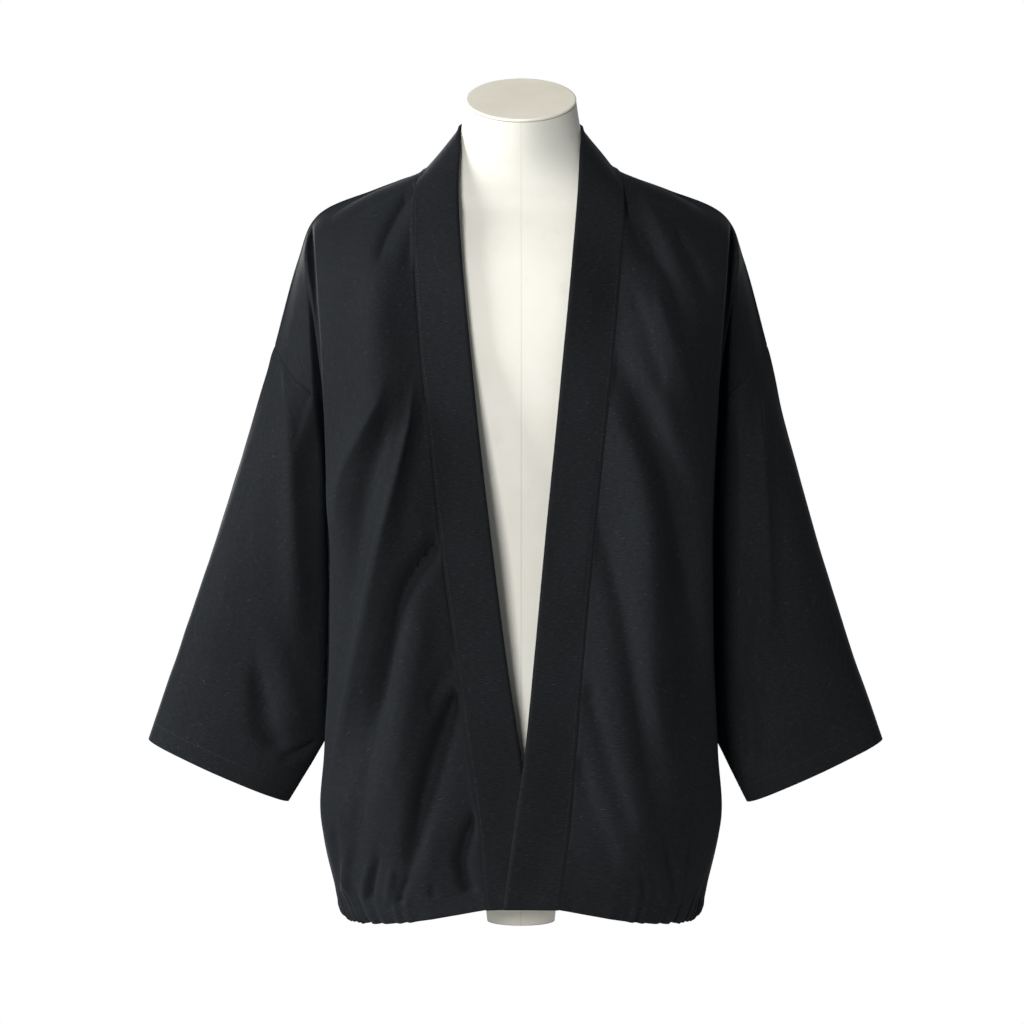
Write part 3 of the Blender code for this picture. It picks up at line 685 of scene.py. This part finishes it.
def front_panel(side, at, across):
    grid = with_folds(signed(front_half(side, at, across), side), side, -1, "body")
    return clear_of_form(grid, PANEL_WALL)


def neckline(side, at):
    """Neck seam from the neck point to the centre back, clear of the form like the band."""
    return clear_of_form(signed(band_lines(side, at)[0], side), BAND_WALL)


def back_panel(at, front_across, nape_across):
    """Whole back panel from the wearer's right edge to the left, met to the shoulder and neck."""
    halves = []
    shoulder = front_across[::-1]
    across = np.concatenate([EDGE_STATION - shoulder, EDGE_STATION + nape_across[1:]])
    share = np.exp(-((at / 0.6) ** 2))[:, None, None]
    for side in (-1, 1):
        half = with_folds(signed(back_half(at, across), side), side, 1, "body")
        half = clear_of_form(half, PANEL_WALL)
        line = front_panel(side, np.zeros(1), shoulder)[0]
        wanted = np.vstack([line, neckline(side, -nape_across[1:])])
        half = half + share * (wanted - half[0])
        half[1:] = clear_of_form(half[1:], PANEL_WALL)
        half[0] = wanted
        halves.append(half)
    return np.concatenate([halves[0], halves[1][:, ::-1][:, 1:]], axis=1)


def band_surface(side, at, cells):
    """Band from its seam with the panel to its free edge."""
    seam, free = band_lines(side, at)
    share = np.linspace(0, 1, cells + 1)[None, :, None]
    grid = signed(seam[:, None] * (1 - share) + free[:, None] * share, side)
    return clear_of_form(grid, BAND_WALL)


def lengths(path):
    """Length along a path at each of its points."""
    return np.r_[0, np.cumsum(np.linalg.norm(np.diff(path, axis=0), axis=1))]


def ring_angles(loop, count):
    """Angle of each armhole point by its share of the way from shoulder to underarm."""
    angles = []
    for stretch, start in ((loop[: count + 1], 0.0), (np.vstack([loop[count:], loop[:1]]), math.pi)):
        steps = lengths(stretch)
        angles.append(start + math.pi * steps / steps[-1])
    return np.concatenate([angles[0], angles[1][1:-1]])


def sleeve_section(side, along, angles):
    """Flattened ring of the sleeve at each place along it."""
    who = "right" if side < 0 else "left"
    names = ("outer_x_" + who, "outer_z", "inner_x_" + who, "inner_z", "front", "back")
    values = curve(SLEEVE["along"], named(SLEEVE, *names), along)[:, None]
    swing = (1 + np.cos(angles)) / 2
    deep = np.where(np.sin(angles) > 0, -values[..., 4], values[..., 5]) * np.abs(np.sin(angles)) ** 0.9
    x = values[..., 2] + (values[..., 0] - values[..., 2]) * swing
    z = values[..., 3] + (values[..., 1] - values[..., 3]) * swing
    return np.stack([x, deep, z], -1)


def sleeve(side, rows_at, along):
    """Sleeve rings from the armhole loop of the panels to the open cuff."""
    front = front_panel(side, rows_at, np.array([EDGE_STATION]))[:, 0]
    back = signed(edge_line(rows_at, 1), side)
    back = clear_of_form(with_folds(back, side, 1, "body"), PANEL_WALL)
    loop = np.vstack([front, back[-2:0:-1]])
    rings = signed(sleeve_section(side, along, ring_angles(loop, len(rows_at) - 1)), side)
    fade = 1 - smooth_step(0, 0.42, along)[:, None, None]
    rings = rings + (loop - rings[0]) * fade
    late = smooth_step(0.02, 0.2, along)[:, None, None]
    for face in (-1, 1):
        rings = rings + (with_folds(rings, side, face, "sleeve") - rings) * late
    return rings


# Meshes

def grid_normals(grid, closed=False):
    """Normals of a grid of points by central differences, rows down and columns across."""
    across = np.roll(grid, -1, 1) - np.roll(grid, 1, 1) if closed else np.gradient(grid, axis=1)
    normals = np.cross(np.gradient(grid, axis=0), across)
    size = np.linalg.norm(normals, axis=-1, keepdims=True)
    return normals / np.maximum(size, 1e-12)


def outward(grid, normals, centre):
    away = ((grid - centre) * normals).sum(-1)
    return normals if away.sum() > 0 else -normals


def borders(array):
    """The four borders of a grid as views."""
    return [array[0], array[-1], array[:, 0], array[:, -1]]


def share_normals(pieces):
    """Gives border points that pieces have in common the same normal."""
    def key(point):
        return tuple(np.round(point * 2e5).astype(int))

    sums = {}
    for piece in pieces.values():
        seen = set()
        for points, normals in zip(borders(piece["grid"]), borders(piece["normals"])):
            for point, normal in zip(points, normals):
                if key(point) not in seen:
                    sums[key(point)] = sums.get(key(point), 0) + normal
                    seen.add(key(point))
    for piece in pieces.values():
        for points, normals in zip(borders(piece["grid"]), borders(piece["normals"])):
            for n, point in enumerate(points):
                total = sums[key(point)]
                size = np.linalg.norm(total)
                if size > 1e-6:
                    normals[n] = total / size


def flat_places(grid, closed=False):
    """Lengths across and down the cloth at each point."""
    wide = np.concatenate([grid, grid[:, :1]], axis=1) if closed else grid
    across = np.r_[0, np.cumsum(np.linalg.norm(np.diff(wide, axis=1), axis=-1).mean(0))]
    down = np.cumsum(np.linalg.norm(np.diff(grid, axis=0), axis=-1), axis=0)
    down = np.concatenate([np.zeros((1, grid.shape[1])), down])
    return np.broadcast_to(across[: grid.shape[1]], grid.shape[:2]), down


def border_fade(grid, sides, reach):
    """0 at the named borders, 1 beyond the reach, by length over the cloth."""
    across, down = flat_places(grid)
    inwards = {"top": down, "low": down[-1:] - down, "start": across, "end": across[:, -1:] - across}
    fade = np.ones(grid.shape[:2])
    for side, length in inwards.items():
        if side in sides:
            fade = fade * smooth_step(0, reach, length)
    return fade


def seam_dip(grid, sides, depth, reach):
    return -depth * (1 - border_fade(grid, sides, reach))


def pull_in(grid, sides):
    """Moves the named borders a little inwards, so that neighbours stay apart."""
    grid = grid.copy()
    ends = {"top": grid[:2], "low": grid[:-3:-1], "start": grid[:, :2], "end": grid[:, :-3:-1]}
    for side, pair in ends.items():
        if side in sides:
            border, inner = pair if side in ("top", "low") else np.swapaxes(pair, 0, 1)
            way = inner - border
            border += way / np.linalg.norm(way, axis=-1, keepdims=True) * SEAM_GAP / 2
    return grid


def link(name, verts, faces, material, uv=None):
    mesh = bpy.data.meshes.new(name)
    mesh.from_pydata(verts.tolist(), [], faces)
    if uv is not None:
        layer = mesh.uv_layers.new(name="cloth")
        corner = np.zeros(len(mesh.loops), dtype=np.int32)
        mesh.loops.foreach_get("vertex_index", corner)
        layer.data.foreach_set("uv", uv[corner].astype(np.float32).ravel())
    mesh.polygons.foreach_set("use_smooth", np.ones(len(mesh.polygons), dtype=bool))
    mesh.materials.append(material)
    mesh.update()
    mesh.set_sharp_from_angle(angle=SHARP)
    thing = bpy.data.objects.new(name, mesh)
    bpy.context.scene.collection.objects.link(thing)
    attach(thing, "root")
    return thing


def shell(name, grid, normals, wall, material, closed=False, rounded=()):
    """Thin closed wall around a grid; rounded borders get a folded edge."""
    rows, columns = grid.shape[:2]
    far = rows * columns
    uv = np.stack(flat_places(grid, closed), -1).reshape(-1, 2)
    flat = grid.reshape(-1, 3)
    outer = (grid + normals * wall / 2).reshape(-1, 3)
    verts = [outer, (grid - normals * wall / 2).reshape(-1, 3)]
    uvs = [uv, uv]
    index = np.arange(far).reshape(rows, columns)
    nxt = np.roll(index, -1, 1) if closed else index[:, 1:]
    cur = index if closed else index[:, :-1]
    a, b, c, d = cur[:-1].ravel(), nxt[:-1].ravel(), nxt[1:].ravel(), cur[1:].ravel()
    faces = [np.stack([a, b, c, d], -1), np.stack([a, d, c, b], -1) + far]
    rims = {"top": (index[0], index[1]), "low": (index[-1], index[-2])}
    if not closed:
        rims.update(start=(index[:, 0], index[:, 1]), end=(index[:, -1], index[:, -2]))
    count = 2 * far
    for side, (line, neighbour) in rims.items():
        pairs = ((line, line + far),)
        if side in rounded:
            away = flat[line] - flat[neighbour]
            verts.append(flat[line] + away / np.linalg.norm(away, axis=-1, keepdims=True) * wall * 0.42)
            uvs.append(uv[line])
            fold = count + np.arange(len(line))
            count += len(line)
            pairs = ((line, fold), (fold, line + far))
        for near, other in pairs:
            quad = np.stack([near, other, np.roll(other, -1), np.roll(near, -1)], -1)
            quad = quad if closed else quad[:-1]
            faces.append(quad if side in ("top", "end") else quad[:, ::-1])
    faces = np.concatenate(faces)
    first = np.cross(outer[b[0]] - outer[a[0]], outer[d[0]] - outer[a[0]])
    if (first * normals.reshape(-1, 3)[a[0]]).sum() < 0:
        faces = faces[:, ::-1]
    return link(name, np.concatenate(verts), faces.tolist(), material, np.concatenate(uvs))


def split(cuts, parts=SPLIT):
    cuts = np.asarray(cuts, float)
    pieces = [np.linspace(a, b, parts + 1)[:-1] for a, b in zip(cuts[:-1], cuts[1:])]
    return np.concatenate(pieces + [[cuts[-1]]])


def stitches(name, path, normals, material):
    """Row of short thread loops lying on a path."""
    steps = lengths(path)
    count = int(steps[-1] / PITCH)
    verts, faces = [], []

    def read(rows, place):
        return np.array([np.interp(place, steps, rows[:, k]) for k in range(3)])

    for centre in (np.arange(count) + 0.5) * steps[-1] / count:
        base = len(verts)
        normal = read(normals, centre)
        normal /= np.linalg.norm(normal)
        for place, high in ((-0.5, 0.0), (-0.28, 1.0), (0.28, 1.0), (0.5, 0.0)):
            here = centre + place * STITCH
            point = read(path, here)
            ahead = read(path, here + 1e-4) - point
            if np.linalg.norm(ahead) < 1e-9:
                ahead = point - read(path, here - 1e-4)
            ahead /= np.linalg.norm(ahead)
            beside = np.cross(normal, ahead) * (THREAD_WIDE / 2 * (0.45 + 0.55 * high))
            rise = normal * (THREAD_HIGH * high + 0.03 * MM)
            under = point - normal * 0.2 * MM
            verts += [point + rise - beside, point + rise * 1.6, point + rise + beside, under]
        for k in range(3):
            for j in range(4):
                a, b = base + 4 * k + j, base + 4 * k + (j + 1) % 4
                faces.append((a, b, b + 4, a + 4))
        faces.append((base, base + 3, base + 2, base + 1))
        faces.append((base + 12, base + 13, base + 14, base + 15))
    return link(name, np.array(verts), faces, material)


# Materials

def node(tree, kind, values, output=0, **settings):
    """New shader node with its values or the sockets that feed it; gives one of its outputs."""
    made = tree.nodes.new("ShaderNode" + kind)
    for name, value in settings.items():
        setattr(made, name, value)
    feed(tree, made, values)
    return made.outputs[output] if made.outputs else made


def feed(tree, made, values):
    for name, value in values.items():
        if isinstance(value, bpy.types.NodeSocket):
            tree.links.new(value, made.inputs[name])
        else:
            made.inputs[name].default_value = value


def principled(name):
    material = bpy.data.materials.new(name)
    material.use_nodes = True
    tree = material.node_tree
    return material, tree, tree.nodes["Principled BSDF"]


def ramp(tree, source, *stops):
    """Grey levels at places along the source's value."""
    output = node(tree, "ValToRGB", {"Fac": source})
    elements = output.node.color_ramp.elements
    while len(elements) < len(stops):
        elements.new(0.5)
    for element, (place, value) in zip(elements, stops):
        element.position = place
        element.color = (value, value, value, 1)
    return output


def noise(tree, source, scale, detail, rough):
    stretched = node(tree, "Mapping", {"Vector": source, "Scale": scale})
    values = {"Vector": stretched, "Scale": 1.0, "Detail": detail, "Roughness": rough}
    return node(tree, "TexNoise", values, "Fac")


def mix(tree, factor, first, second, blend="MIX"):
    """Mix of two colours; the node's inputs 0, 6 and 7 are its factor and its two colours."""
    values = {0: factor, 6: first, 7: second}
    values = {place: (*value, 1) if isinstance(value, tuple) else value for place, value in values.items()}
    return node(tree, "Mix", values, 2, data_type="RGBA", blend_type=blend)


def bump(tree, height, strength, distance, normal=None):
    values = {"Height": height, "Strength": strength, "Distance": distance}
    return node(tree, "Bump", values if normal is None else {**values, "Normal": normal})


def shaded(colour, shade):
    return tuple(c * shade for c in colour)


def cloth_material(name, shade=1.0):
    """Near-black plain weave: fine threads, short slubs across, uneven dye and a little sheen; shade darkens
    all its colours, painted shade for a darker copy of the same cloth.
    """
    material, tree, shader = principled(name)
    uv = node(tree, "UVMap", {}, uv_map="cloth")
    slubs = noise(tree, uv, (150, 1000, 1), 3.0, 0.6)
    flecks = noise(tree, uv, (160, 1100, 1), 1.0, 0.5)
    warp = noise(tree, uv, (1100, 60, 1), 2.0, 0.5)
    cloud = noise(tree, uv, (9, 7, 1), 4.0, 0.55)

    slub_share = ramp(tree, slubs, (0.30, 0.0), (0.72, 1.0))
    dark, light = shaded((0.0067, 0.0078, 0.0090), shade), shaded((0.0154, 0.0173, 0.0197), shade)
    base = mix(tree, slub_share, dark, light)
    fleck_share = ramp(tree, flecks, (0.70, 0.0), (0.76, 1.0))
    flecked = mix(tree, fleck_share, base, shaded((0.040, 0.044, 0.050), shade))
    dye = ramp(tree, cloud, (0.35, 0.86), (0.70, 1.10))

    # Threads of the weave
    waves = []
    for scale in ((1500, 0.001, 1), (0.001, 1500, 1)):
        stretched = node(tree, "Mapping", {"Vector": uv, "Scale": scale})
        values = {"Vector": stretched, "Scale": 0.30, "Distortion": 0.4}
        waves.append(node(tree, "TexWave", values, "Fac", bands_direction="DIAGONAL"))
    weave = node(tree, "Math", {0: waves[0], 1: waves[1]}, operation="ADD")
    fine = bump(tree, weave, 0.10, 0.15 * MM)
    feed(tree, shader, {
        "Base Color": mix(tree, 1.0, flecked, dye, "MULTIPLY"),
        "Roughness": ramp(tree, warp, (0.3, 0.74), (0.75, 0.86)),
        "Normal": bump(tree, slubs, 0.14, 0.25 * MM, fine),
        "Specular IOR Level": 0.07, "Sheen Weight": 0.03, "Sheen Roughness": 0.45,
        "Sheen Tint": (0.75, 0.82, 0.95, 1),
    })
    return material


def form_material(name, light, dark, body):
    """Aged cream cover, mottled and finely woven; the body's darkens upwards, painted shade against the
    stronger light on its upper part, and has a front seam.
    """
    material, tree, shader = principled(name)
    place = node(tree, "TexCoord", {}, "Object")
    cloud = noise(tree, place, (14, 14, 10), 6.0, 0.6)
    stains = noise(tree, place, (38, 38, 30), 5.0, 0.65)
    linen = noise(tree, place, (900, 900, 260), 2.0, 0.5)
    base = mix(tree, ramp(tree, cloud, (0.36, 0.0), (0.68, 1.0)), light, dark)
    colour = mix(tree, ramp(tree, stains, (0.60, 0.0), (0.80, 0.55)), base, shaded(dark, 0.86))
    if body:
        # Painted shade: the body's colour darkens upwards by height, against the stronger light on its upper
        # part.
        height = node(tree, "SeparateXYZ", {"Vector": place}, "Z")
        painted_shade_by_height = ramp(tree, height, (0.45, 1.0), (0.60, 0.935), (0.70, 0.87), (0.79, 0.77))
        aside = node(tree, "Math", {0: height.node.outputs["X"]}, operation="ABSOLUTE")
        values = {"Value": aside, "From Min": 0.2 * MM, "From Max": 0.9 * MM, "To Min": 0.42, "To Max": 0.0}
        line = node(tree, "MapRange", values)
        colour = mix(tree, line, mix(tree, 1.0, colour, painted_shade_by_height, "MULTIPLY"), shaded(dark, 0.66))
    feed(tree, shader, {
        "Base Color": colour, "Normal": bump(tree, linen, 0.25, 0.3 * MM), "Roughness": 0.72,
        "Specular IOR Level": 0.25,
    })
    return material


cloth = cloth_material("cloth_body")
# The band is the same cloth darkened to nine tenths: painted shade.
cloth_band_painted_shade = cloth_material("cloth_band_painted_shade", 0.90)
cloth_sleeve = cloth_material("cloth_sleeve")
thread, tree, shader = principled("thread")
feed(tree, shader, {"Base Color": (0.005, 0.0056, 0.0065, 1), "Roughness": 0.7})
form_cloth = form_material("form_cover", (0.91, 0.895, 0.81), (0.86, 0.83, 0.73), True)
cap_cloth = form_material("cap_cover", (0.92, 0.875, 0.75), (0.85, 0.80, 0.675), False)


# Jacket

def gather_wave(across, cells, count):
    """Uneven gathers along a hem, gone at both ends, for places from 0 to cells."""
    place = across / cells
    bend = 0.014 * np.sin(2 * math.pi * 3 * place + 0.7) + 0.006 * np.sin(2 * math.pi * 7 * place)
    wave = np.sin(2 * math.pi * count * (place + bend * 14 / count))
    wave = wave + 0.35 * np.sin(2 * math.pi * count * 1.7 * place + 2.0)
    size = 0.70 + 0.30 * np.sin(2 * math.pi * 4.3 * place + 1.1)
    ends = smooth_step(0, 0.03, place) * smooth_step(0, 0.03, 1 - place)
    return wave * size * ends


def front_strength(across):
    return 0.12 + 0.88 * smooth_step(0.35, 1.5, across)


def back_strength(across):
    return 0.9 + 0.1 * np.cos(across)


def detailed(grid, normals, side, face, part, seed, gathers=None):
    """Fine creases, unevenness, the dip at the seams and the pull of the gathered hem."""
    tube = part == "sleeve"
    across, down = flat_places(grid, tube)
    fade = smooth_step(0, 12 * MM, down) if tube else border_fade(grid, ALL_SIDES, 4 * MM)
    facing = smooth_step(-0.1, 0.25, face * normals[..., 1])
    creases = crease_rise(grid[..., 0], grid[..., 2], side, face, part) * facing
    rise = (uneven_rise(across, down, seed) * PANEL_UNEVEN + creases) * fade
    if tube:
        rise = rise - SLEEVE_DIP * (1 - smooth_step(0, SLEEVE_REACH, down))
    else:
        rise = rise + seam_dip(grid, ("start", "end"), SEAM_DIP, SEAM_REACH)
    if gathers is not None:
        rise = rise + gathers * np.exp(-((down[-1:] - down) / GATHER_REACH) ** 1.3) * 0.55
    return rise


def cells_across(parts):
    cells = [split([k, k + 1], count * parts)[:-1] for k, count in enumerate(FRONT_CELLS)]
    return np.concatenate(cells + [[EDGE_STATION]])


ALL_SIDES = ("top", "low", "start", "end")
MIDDLE = np.array([0, 0, 0.45])
rows_arm = split(ARMHOLE_CUTS)
rows_at = np.concatenate([rows_arm, split(SIDE_CUTS)[1:]])
past_hem = np.r_[rows_at, 10.06]
across_at = cells_across(SPLIT)
front_at = cells_across(FRONT_SPLIT)
nape_at = np.linspace(0, 2, NAPE_CELLS * SPLIT + 1)
half = EDGE_STATION + nape_at[-1]
pieces = {}


def keep(name, grid, normals, rise, wall, material, sides, closed=False, rounded=()):
    pieces[name] = {
        "grid": grid, "normals": normals, "rise": rise, "wall": wall, "material": material,
        "sides": sides, "closed": closed, "rounded": rounded,
    }


def panel_grid(grid):
    """Panel without its row past the hem, which only turns its last normals, and its normals."""
    return grid[:-1], outward(grid, grid_normals(grid), MIDDLE)[:-1].copy()


for side, name in ((-1, "front_right"), (1, "front_left")):
    grid, normals = panel_grid(front_panel(side, past_hem, front_at))
    pull = gather_wave(front_at, EDGE_STATION, FRONT_GATHERS) * front_strength(front_at) * GATHER_HEIGHT
    rise = detailed(grid, normals, side, -1, "body", SEEDS["front"] + side, pull)
    keep(name, grid, normals, rise, THIN, cloth, ALL_SIDES)

grid, normals = panel_grid(back_panel(past_hem, across_at, nape_at))
back_across = np.concatenate([EDGE_STATION - across_at[::-1], EDGE_STATION + nape_at[1:]])
back_across = np.concatenate([back_across, (2 * half - back_across[::-1])[1:]])
pull = gather_wave(back_across, 2 * half, BACK_GATHERS) * back_strength(back_across) * GATHER_HEIGHT
right, left = (detailed(grid, normals, side, 1, "body", SEEDS["back"], pull) for side in (-1, 1))
share = smooth_step(-0.012, 0.012, grid[..., 0])
keep("back", grid, normals, right * (1 - share) + left * share, THIN, cloth, ALL_SIDES)

along = split(SLEEVE_CUTS)
for side, name in ((-1, "sleeve_right"), (1, "sleeve_left")):
    grid = sleeve(side, rows_arm, along)
    normals = outward(grid, grid_normals(grid, closed=True), grid.mean(axis=(0, 1)))
    seed = SEEDS["sleeve"] + side
    front, back = (detailed(grid, normals, side, face, "sleeve", seed) for face in (-1, 1))
    share = smooth_step(-0.3, 0.3, normals[..., 1])
    rise = front * (1 - share) + back * share
    keep(name, grid, normals, rise, THIN, cloth_sleeve, ("top",), closed=True, rounded=("low",))

band_at = np.concatenate([-nape_at[:0:-1], rows_at, CASING_LEVELS[1:]])
nape_count = len(nape_at) - 1
for side, name in ((-1, "band_right"), (1, "band_left")):
    grid = band_surface(side, band_at, BAND_SPLIT)
    grid[:nape_count, 0] = neckline(side, band_at[:nape_count])
    grid[nape_count : nape_count + len(rows_at), 0] = front_panel(side, rows_at, np.zeros(1))[:, 0]
    normals = outward(grid, grid_normals(grid), MIDDLE)
    across, down = flat_places(grid)
    rise = uneven_rise(across, down, SEEDS["band"] + side) * BAND_UNEVEN
    rise = rise * border_fade(grid, ("top", "start"), 8 * MM)
    rise = rise + seam_dip(grid, ("start",), BAND_DIP, BAND_REACH)
    keep(name, grid, normals, rise, BAND_THIN, cloth_band_painted_shade, ("top", "start"), rounded=("end", "low"))


def hem_casing(name, surface, cells, count, strength):
    """Gathered casing below a panel's lower edge."""
    across = np.linspace(0, cells, count * GATHER_CELLS + 1)
    levels = np.array([CASING_LEVELS[0] - 0.06, *CASING_LEVELS])
    grid = surface(levels, across)
    normals = outward(grid, grid_normals(grid), np.array([0, 0, 0.02]))
    wave = gather_wave(across, cells, count) * strength(across) * GATHER_HEIGHT
    grow = np.interp(levels, (10, 10.15, 10.6, 11), (0.55, 0.75, 1.0, 0.8))[:, None]
    puff = np.interp(levels, (10, 10.15, 10.8, 11), (0.0, 0.5, 0.7, 0.1))[:, None] * strength(across) * MM
    rise = (wave * grow + puff)[1:]
    rise[0] = wave * 0.55
    keep(name, grid[1:], normals[1:], rise, CASING_THIN, cloth, ("top", "start", "end"), rounded=("low",))


def back_low(at, u):
    right = with_folds(signed(back_half(at, u[u <= half]), -1), -1, 1, "body")
    left = with_folds(signed(back_half(at, 2 * half - u[u > half]), 1), 1, 1, "body")
    return np.concatenate([right, left], axis=1)


for side, name in ((-1, "hem_front_right"), (1, "hem_front_left")):
    hem_casing(name, lambda at, u, s=side: front_panel(s, at, u), EDGE_STATION, FRONT_GATHERS, front_strength)
hem_casing("hem_back", back_low, 2 * half, BACK_GATHERS, back_strength)

share_normals(pieces)
for name, piece in pieces.items():
    grid = piece["grid"] + piece["normals"] * piece["rise"][..., None]
    if name.startswith(("front", "back", "sleeve")):
        grid[..., 1] += drop_behind_edge(piece["grid"], not piece["closed"])
    if name.startswith(("front", "back")):
        grid = clear_of_form(grid, piece["wall"])
    grid[..., 2] = np.maximum(grid[..., 2], FLOOR_GAP)
    grid = pull_in(grid, piece["sides"])
    centre = grid.mean(axis=(0, 1)) if piece["closed"] else MIDDLE
    normals = outward(grid, grid_normals(grid, piece["closed"]), centre)
    for new, old in zip(borders(normals), borders(piece["normals"])):
        new[...] = old
    shell(
        name + "_cloth", grid, normals, piece["wall"], piece["material"], piece["closed"], piece["rounded"]
    )
    piece.update(drawn=grid, drawn_normals=normals)
    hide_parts(name)

# Stitching: band seam and cuffs
cuff = int(np.argmin(np.abs(along - CUFF_ROW)))
for who in ("right", "left"):
    drawn, turned = (pieces["band_" + who][kind][2:, 1] for kind in ("drawn", "drawn_normals"))
    path = drawn + turned * BAND_THIN / 2
    stitches("band_stitches_" + who, path, turned, thread)
    drawn, turned = (pieces["sleeve_" + who][kind][cuff] for kind in ("drawn", "drawn_normals"))
    drawn, turned = np.vstack([drawn, drawn[:1]]), np.vstack([turned, turned[:1]])
    stitches("cuff_stitches_" + who, drawn + turned * THIN / 2, turned, thread)


# Dress form

def form_rings(levels):
    angles = np.linspace(0, 2 * math.pi, FORM_SEGMENTS, endpoint=False)
    c, s = np.cos(angles), np.sin(angles)
    rings = []
    for level in levels:
        half_width, front, back, power = curve(FORM["height"], FORM_VALUES, np.array([level]))[0]
        x = np.sign(c) * np.abs(c) ** (2 / power) * half_width
        y = np.sign(s) * np.abs(s) ** (2 / power) * np.where(s < 0, front, back)
        rings.append(np.stack([x, y, level + form_tilt(level) * y], -1))
    return np.stack(rings)


def ring_solid(name, rings, material):
    count = rings.shape[1]
    faces = [tuple(reversed(range(count)))]
    for k in range(len(rings) - 1):
        for j in range(count):
            a, b = k * count + j, k * count + (j + 1) % count
            faces.append((a, b, b + count, a + count))
    last = (len(rings) - 1) * count
    faces.append(tuple(range(last, last + count)))
    thing = link(name, rings.reshape(-1, 3), faces, material)
    for face in thing.data.polygons:
        if len(face.vertices) > 4:
            face.use_smooth = False
    return thing


form_levels = np.unique(split(FORM["height"], FORM_SPLIT))
torso = ring_solid("form_torso_cover", form_rings(form_levels), form_cloth)
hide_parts("form_torso")
lean = np.array([0, -math.sin(CAP_TILT), math.cos(CAP_TILT)])
base = form_rings(form_levels[-1:])[0] + lean * CAP_GAP
centre = base.mean(axis=0)
cap_rings = [
    centre + (base - centre) * grow + lean * CAP_THICK * rise
    for rise, grow in ((0, 0.975), (0.06, 0.992), (0.25, 1.0), (0.75, 1.0), (0.94, 0.992), (1, 0.975))
]
cap = ring_solid("form_cap_cover", np.stack(cap_rings), cap_cloth)
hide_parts("form_neck_cap")

# Floor, seen by the camera alone
glow = bpy.data.materials.new("floor_glow")
glow.use_nodes = True
glow.node_tree.nodes.clear()
light = node(glow.node_tree, "Emission", {"Color": WHITE, "Strength": 1.0})
node(glow.node_tree, "OutputMaterial", {"Surface": light})
mesh = bpy.data.meshes.new("floor")
corners = ((-1, -1), (1, -1), (1, 1), (-1, 1))
mesh.from_pydata([(x * FLOOR_REACH, y * FLOOR_REACH, FLOOR_LEVEL) for x, y in corners], [], [(0, 1, 2, 3)])
mesh.materials.append(glow)
floor = bpy.data.objects.new("floor", mesh)
bpy.context.scene.collection.objects.link(floor)
floor.visible_diffuse = False
floor.visible_glossy = False

# Light: white backdrop to the eye, weak fill on the object, lamps from the front left and behind
world = bpy.context.scene.world or bpy.data.worlds.new("world")
bpy.context.scene.world = world
world.use_nodes = True
sky = world.node_tree
sky.nodes.clear()
rays = node(sky, "LightPath", {}, "Is Camera Ray")
ambient = node(sky, "Background", {"Color": (0.95, 0.97, 1.0, 1), "Strength": AMBIENT})
seen = node(sky, "Background", {"Color": WHITE, "Strength": 1.0})
node(sky, "OutputWorld", {"Surface": node(sky, "MixShader", {0: rays, 1: ambient, 2: seen})})

for name, place, aim, size, power in LIGHTS:
    data = bpy.data.lights.new(name, "AREA")
    data.shape = "RECTANGLE"
    data.size, data.size_y = size
    data.energy = power
    lamp = bpy.data.objects.new(name, data)
    lamp.location = place
    lamp.rotation_euler = (Vector(aim) - Vector(place)).to_track_quat("-Z", "Y").to_euler()
    lamp.visible_camera = False
    bpy.context.scene.collection.objects.link(lamp)

# Camera
camera_data = bpy.data.cameras.new("camera")
camera_data.sensor_fit = "HORIZONTAL"
camera_data.angle = 2 * math.atan(0.512 / DISTANCE)
camera_data.clip_start, camera_data.clip_end = 0.05, 30
camera = bpy.data.objects.new("camera", camera_data)
camera.location = AIM + Vector((0, -math.cos(ELEVATION), math.sin(ELEVATION))) * DISTANCE
camera.rotation_euler = (AIM - camera.location).to_track_quat("-Z", "Y").to_euler()
bpy.context.scene.collection.objects.link(camera)
bpy.context.scene.camera = camera
bpy.context.scene.view_settings.view_transform = "Standard"
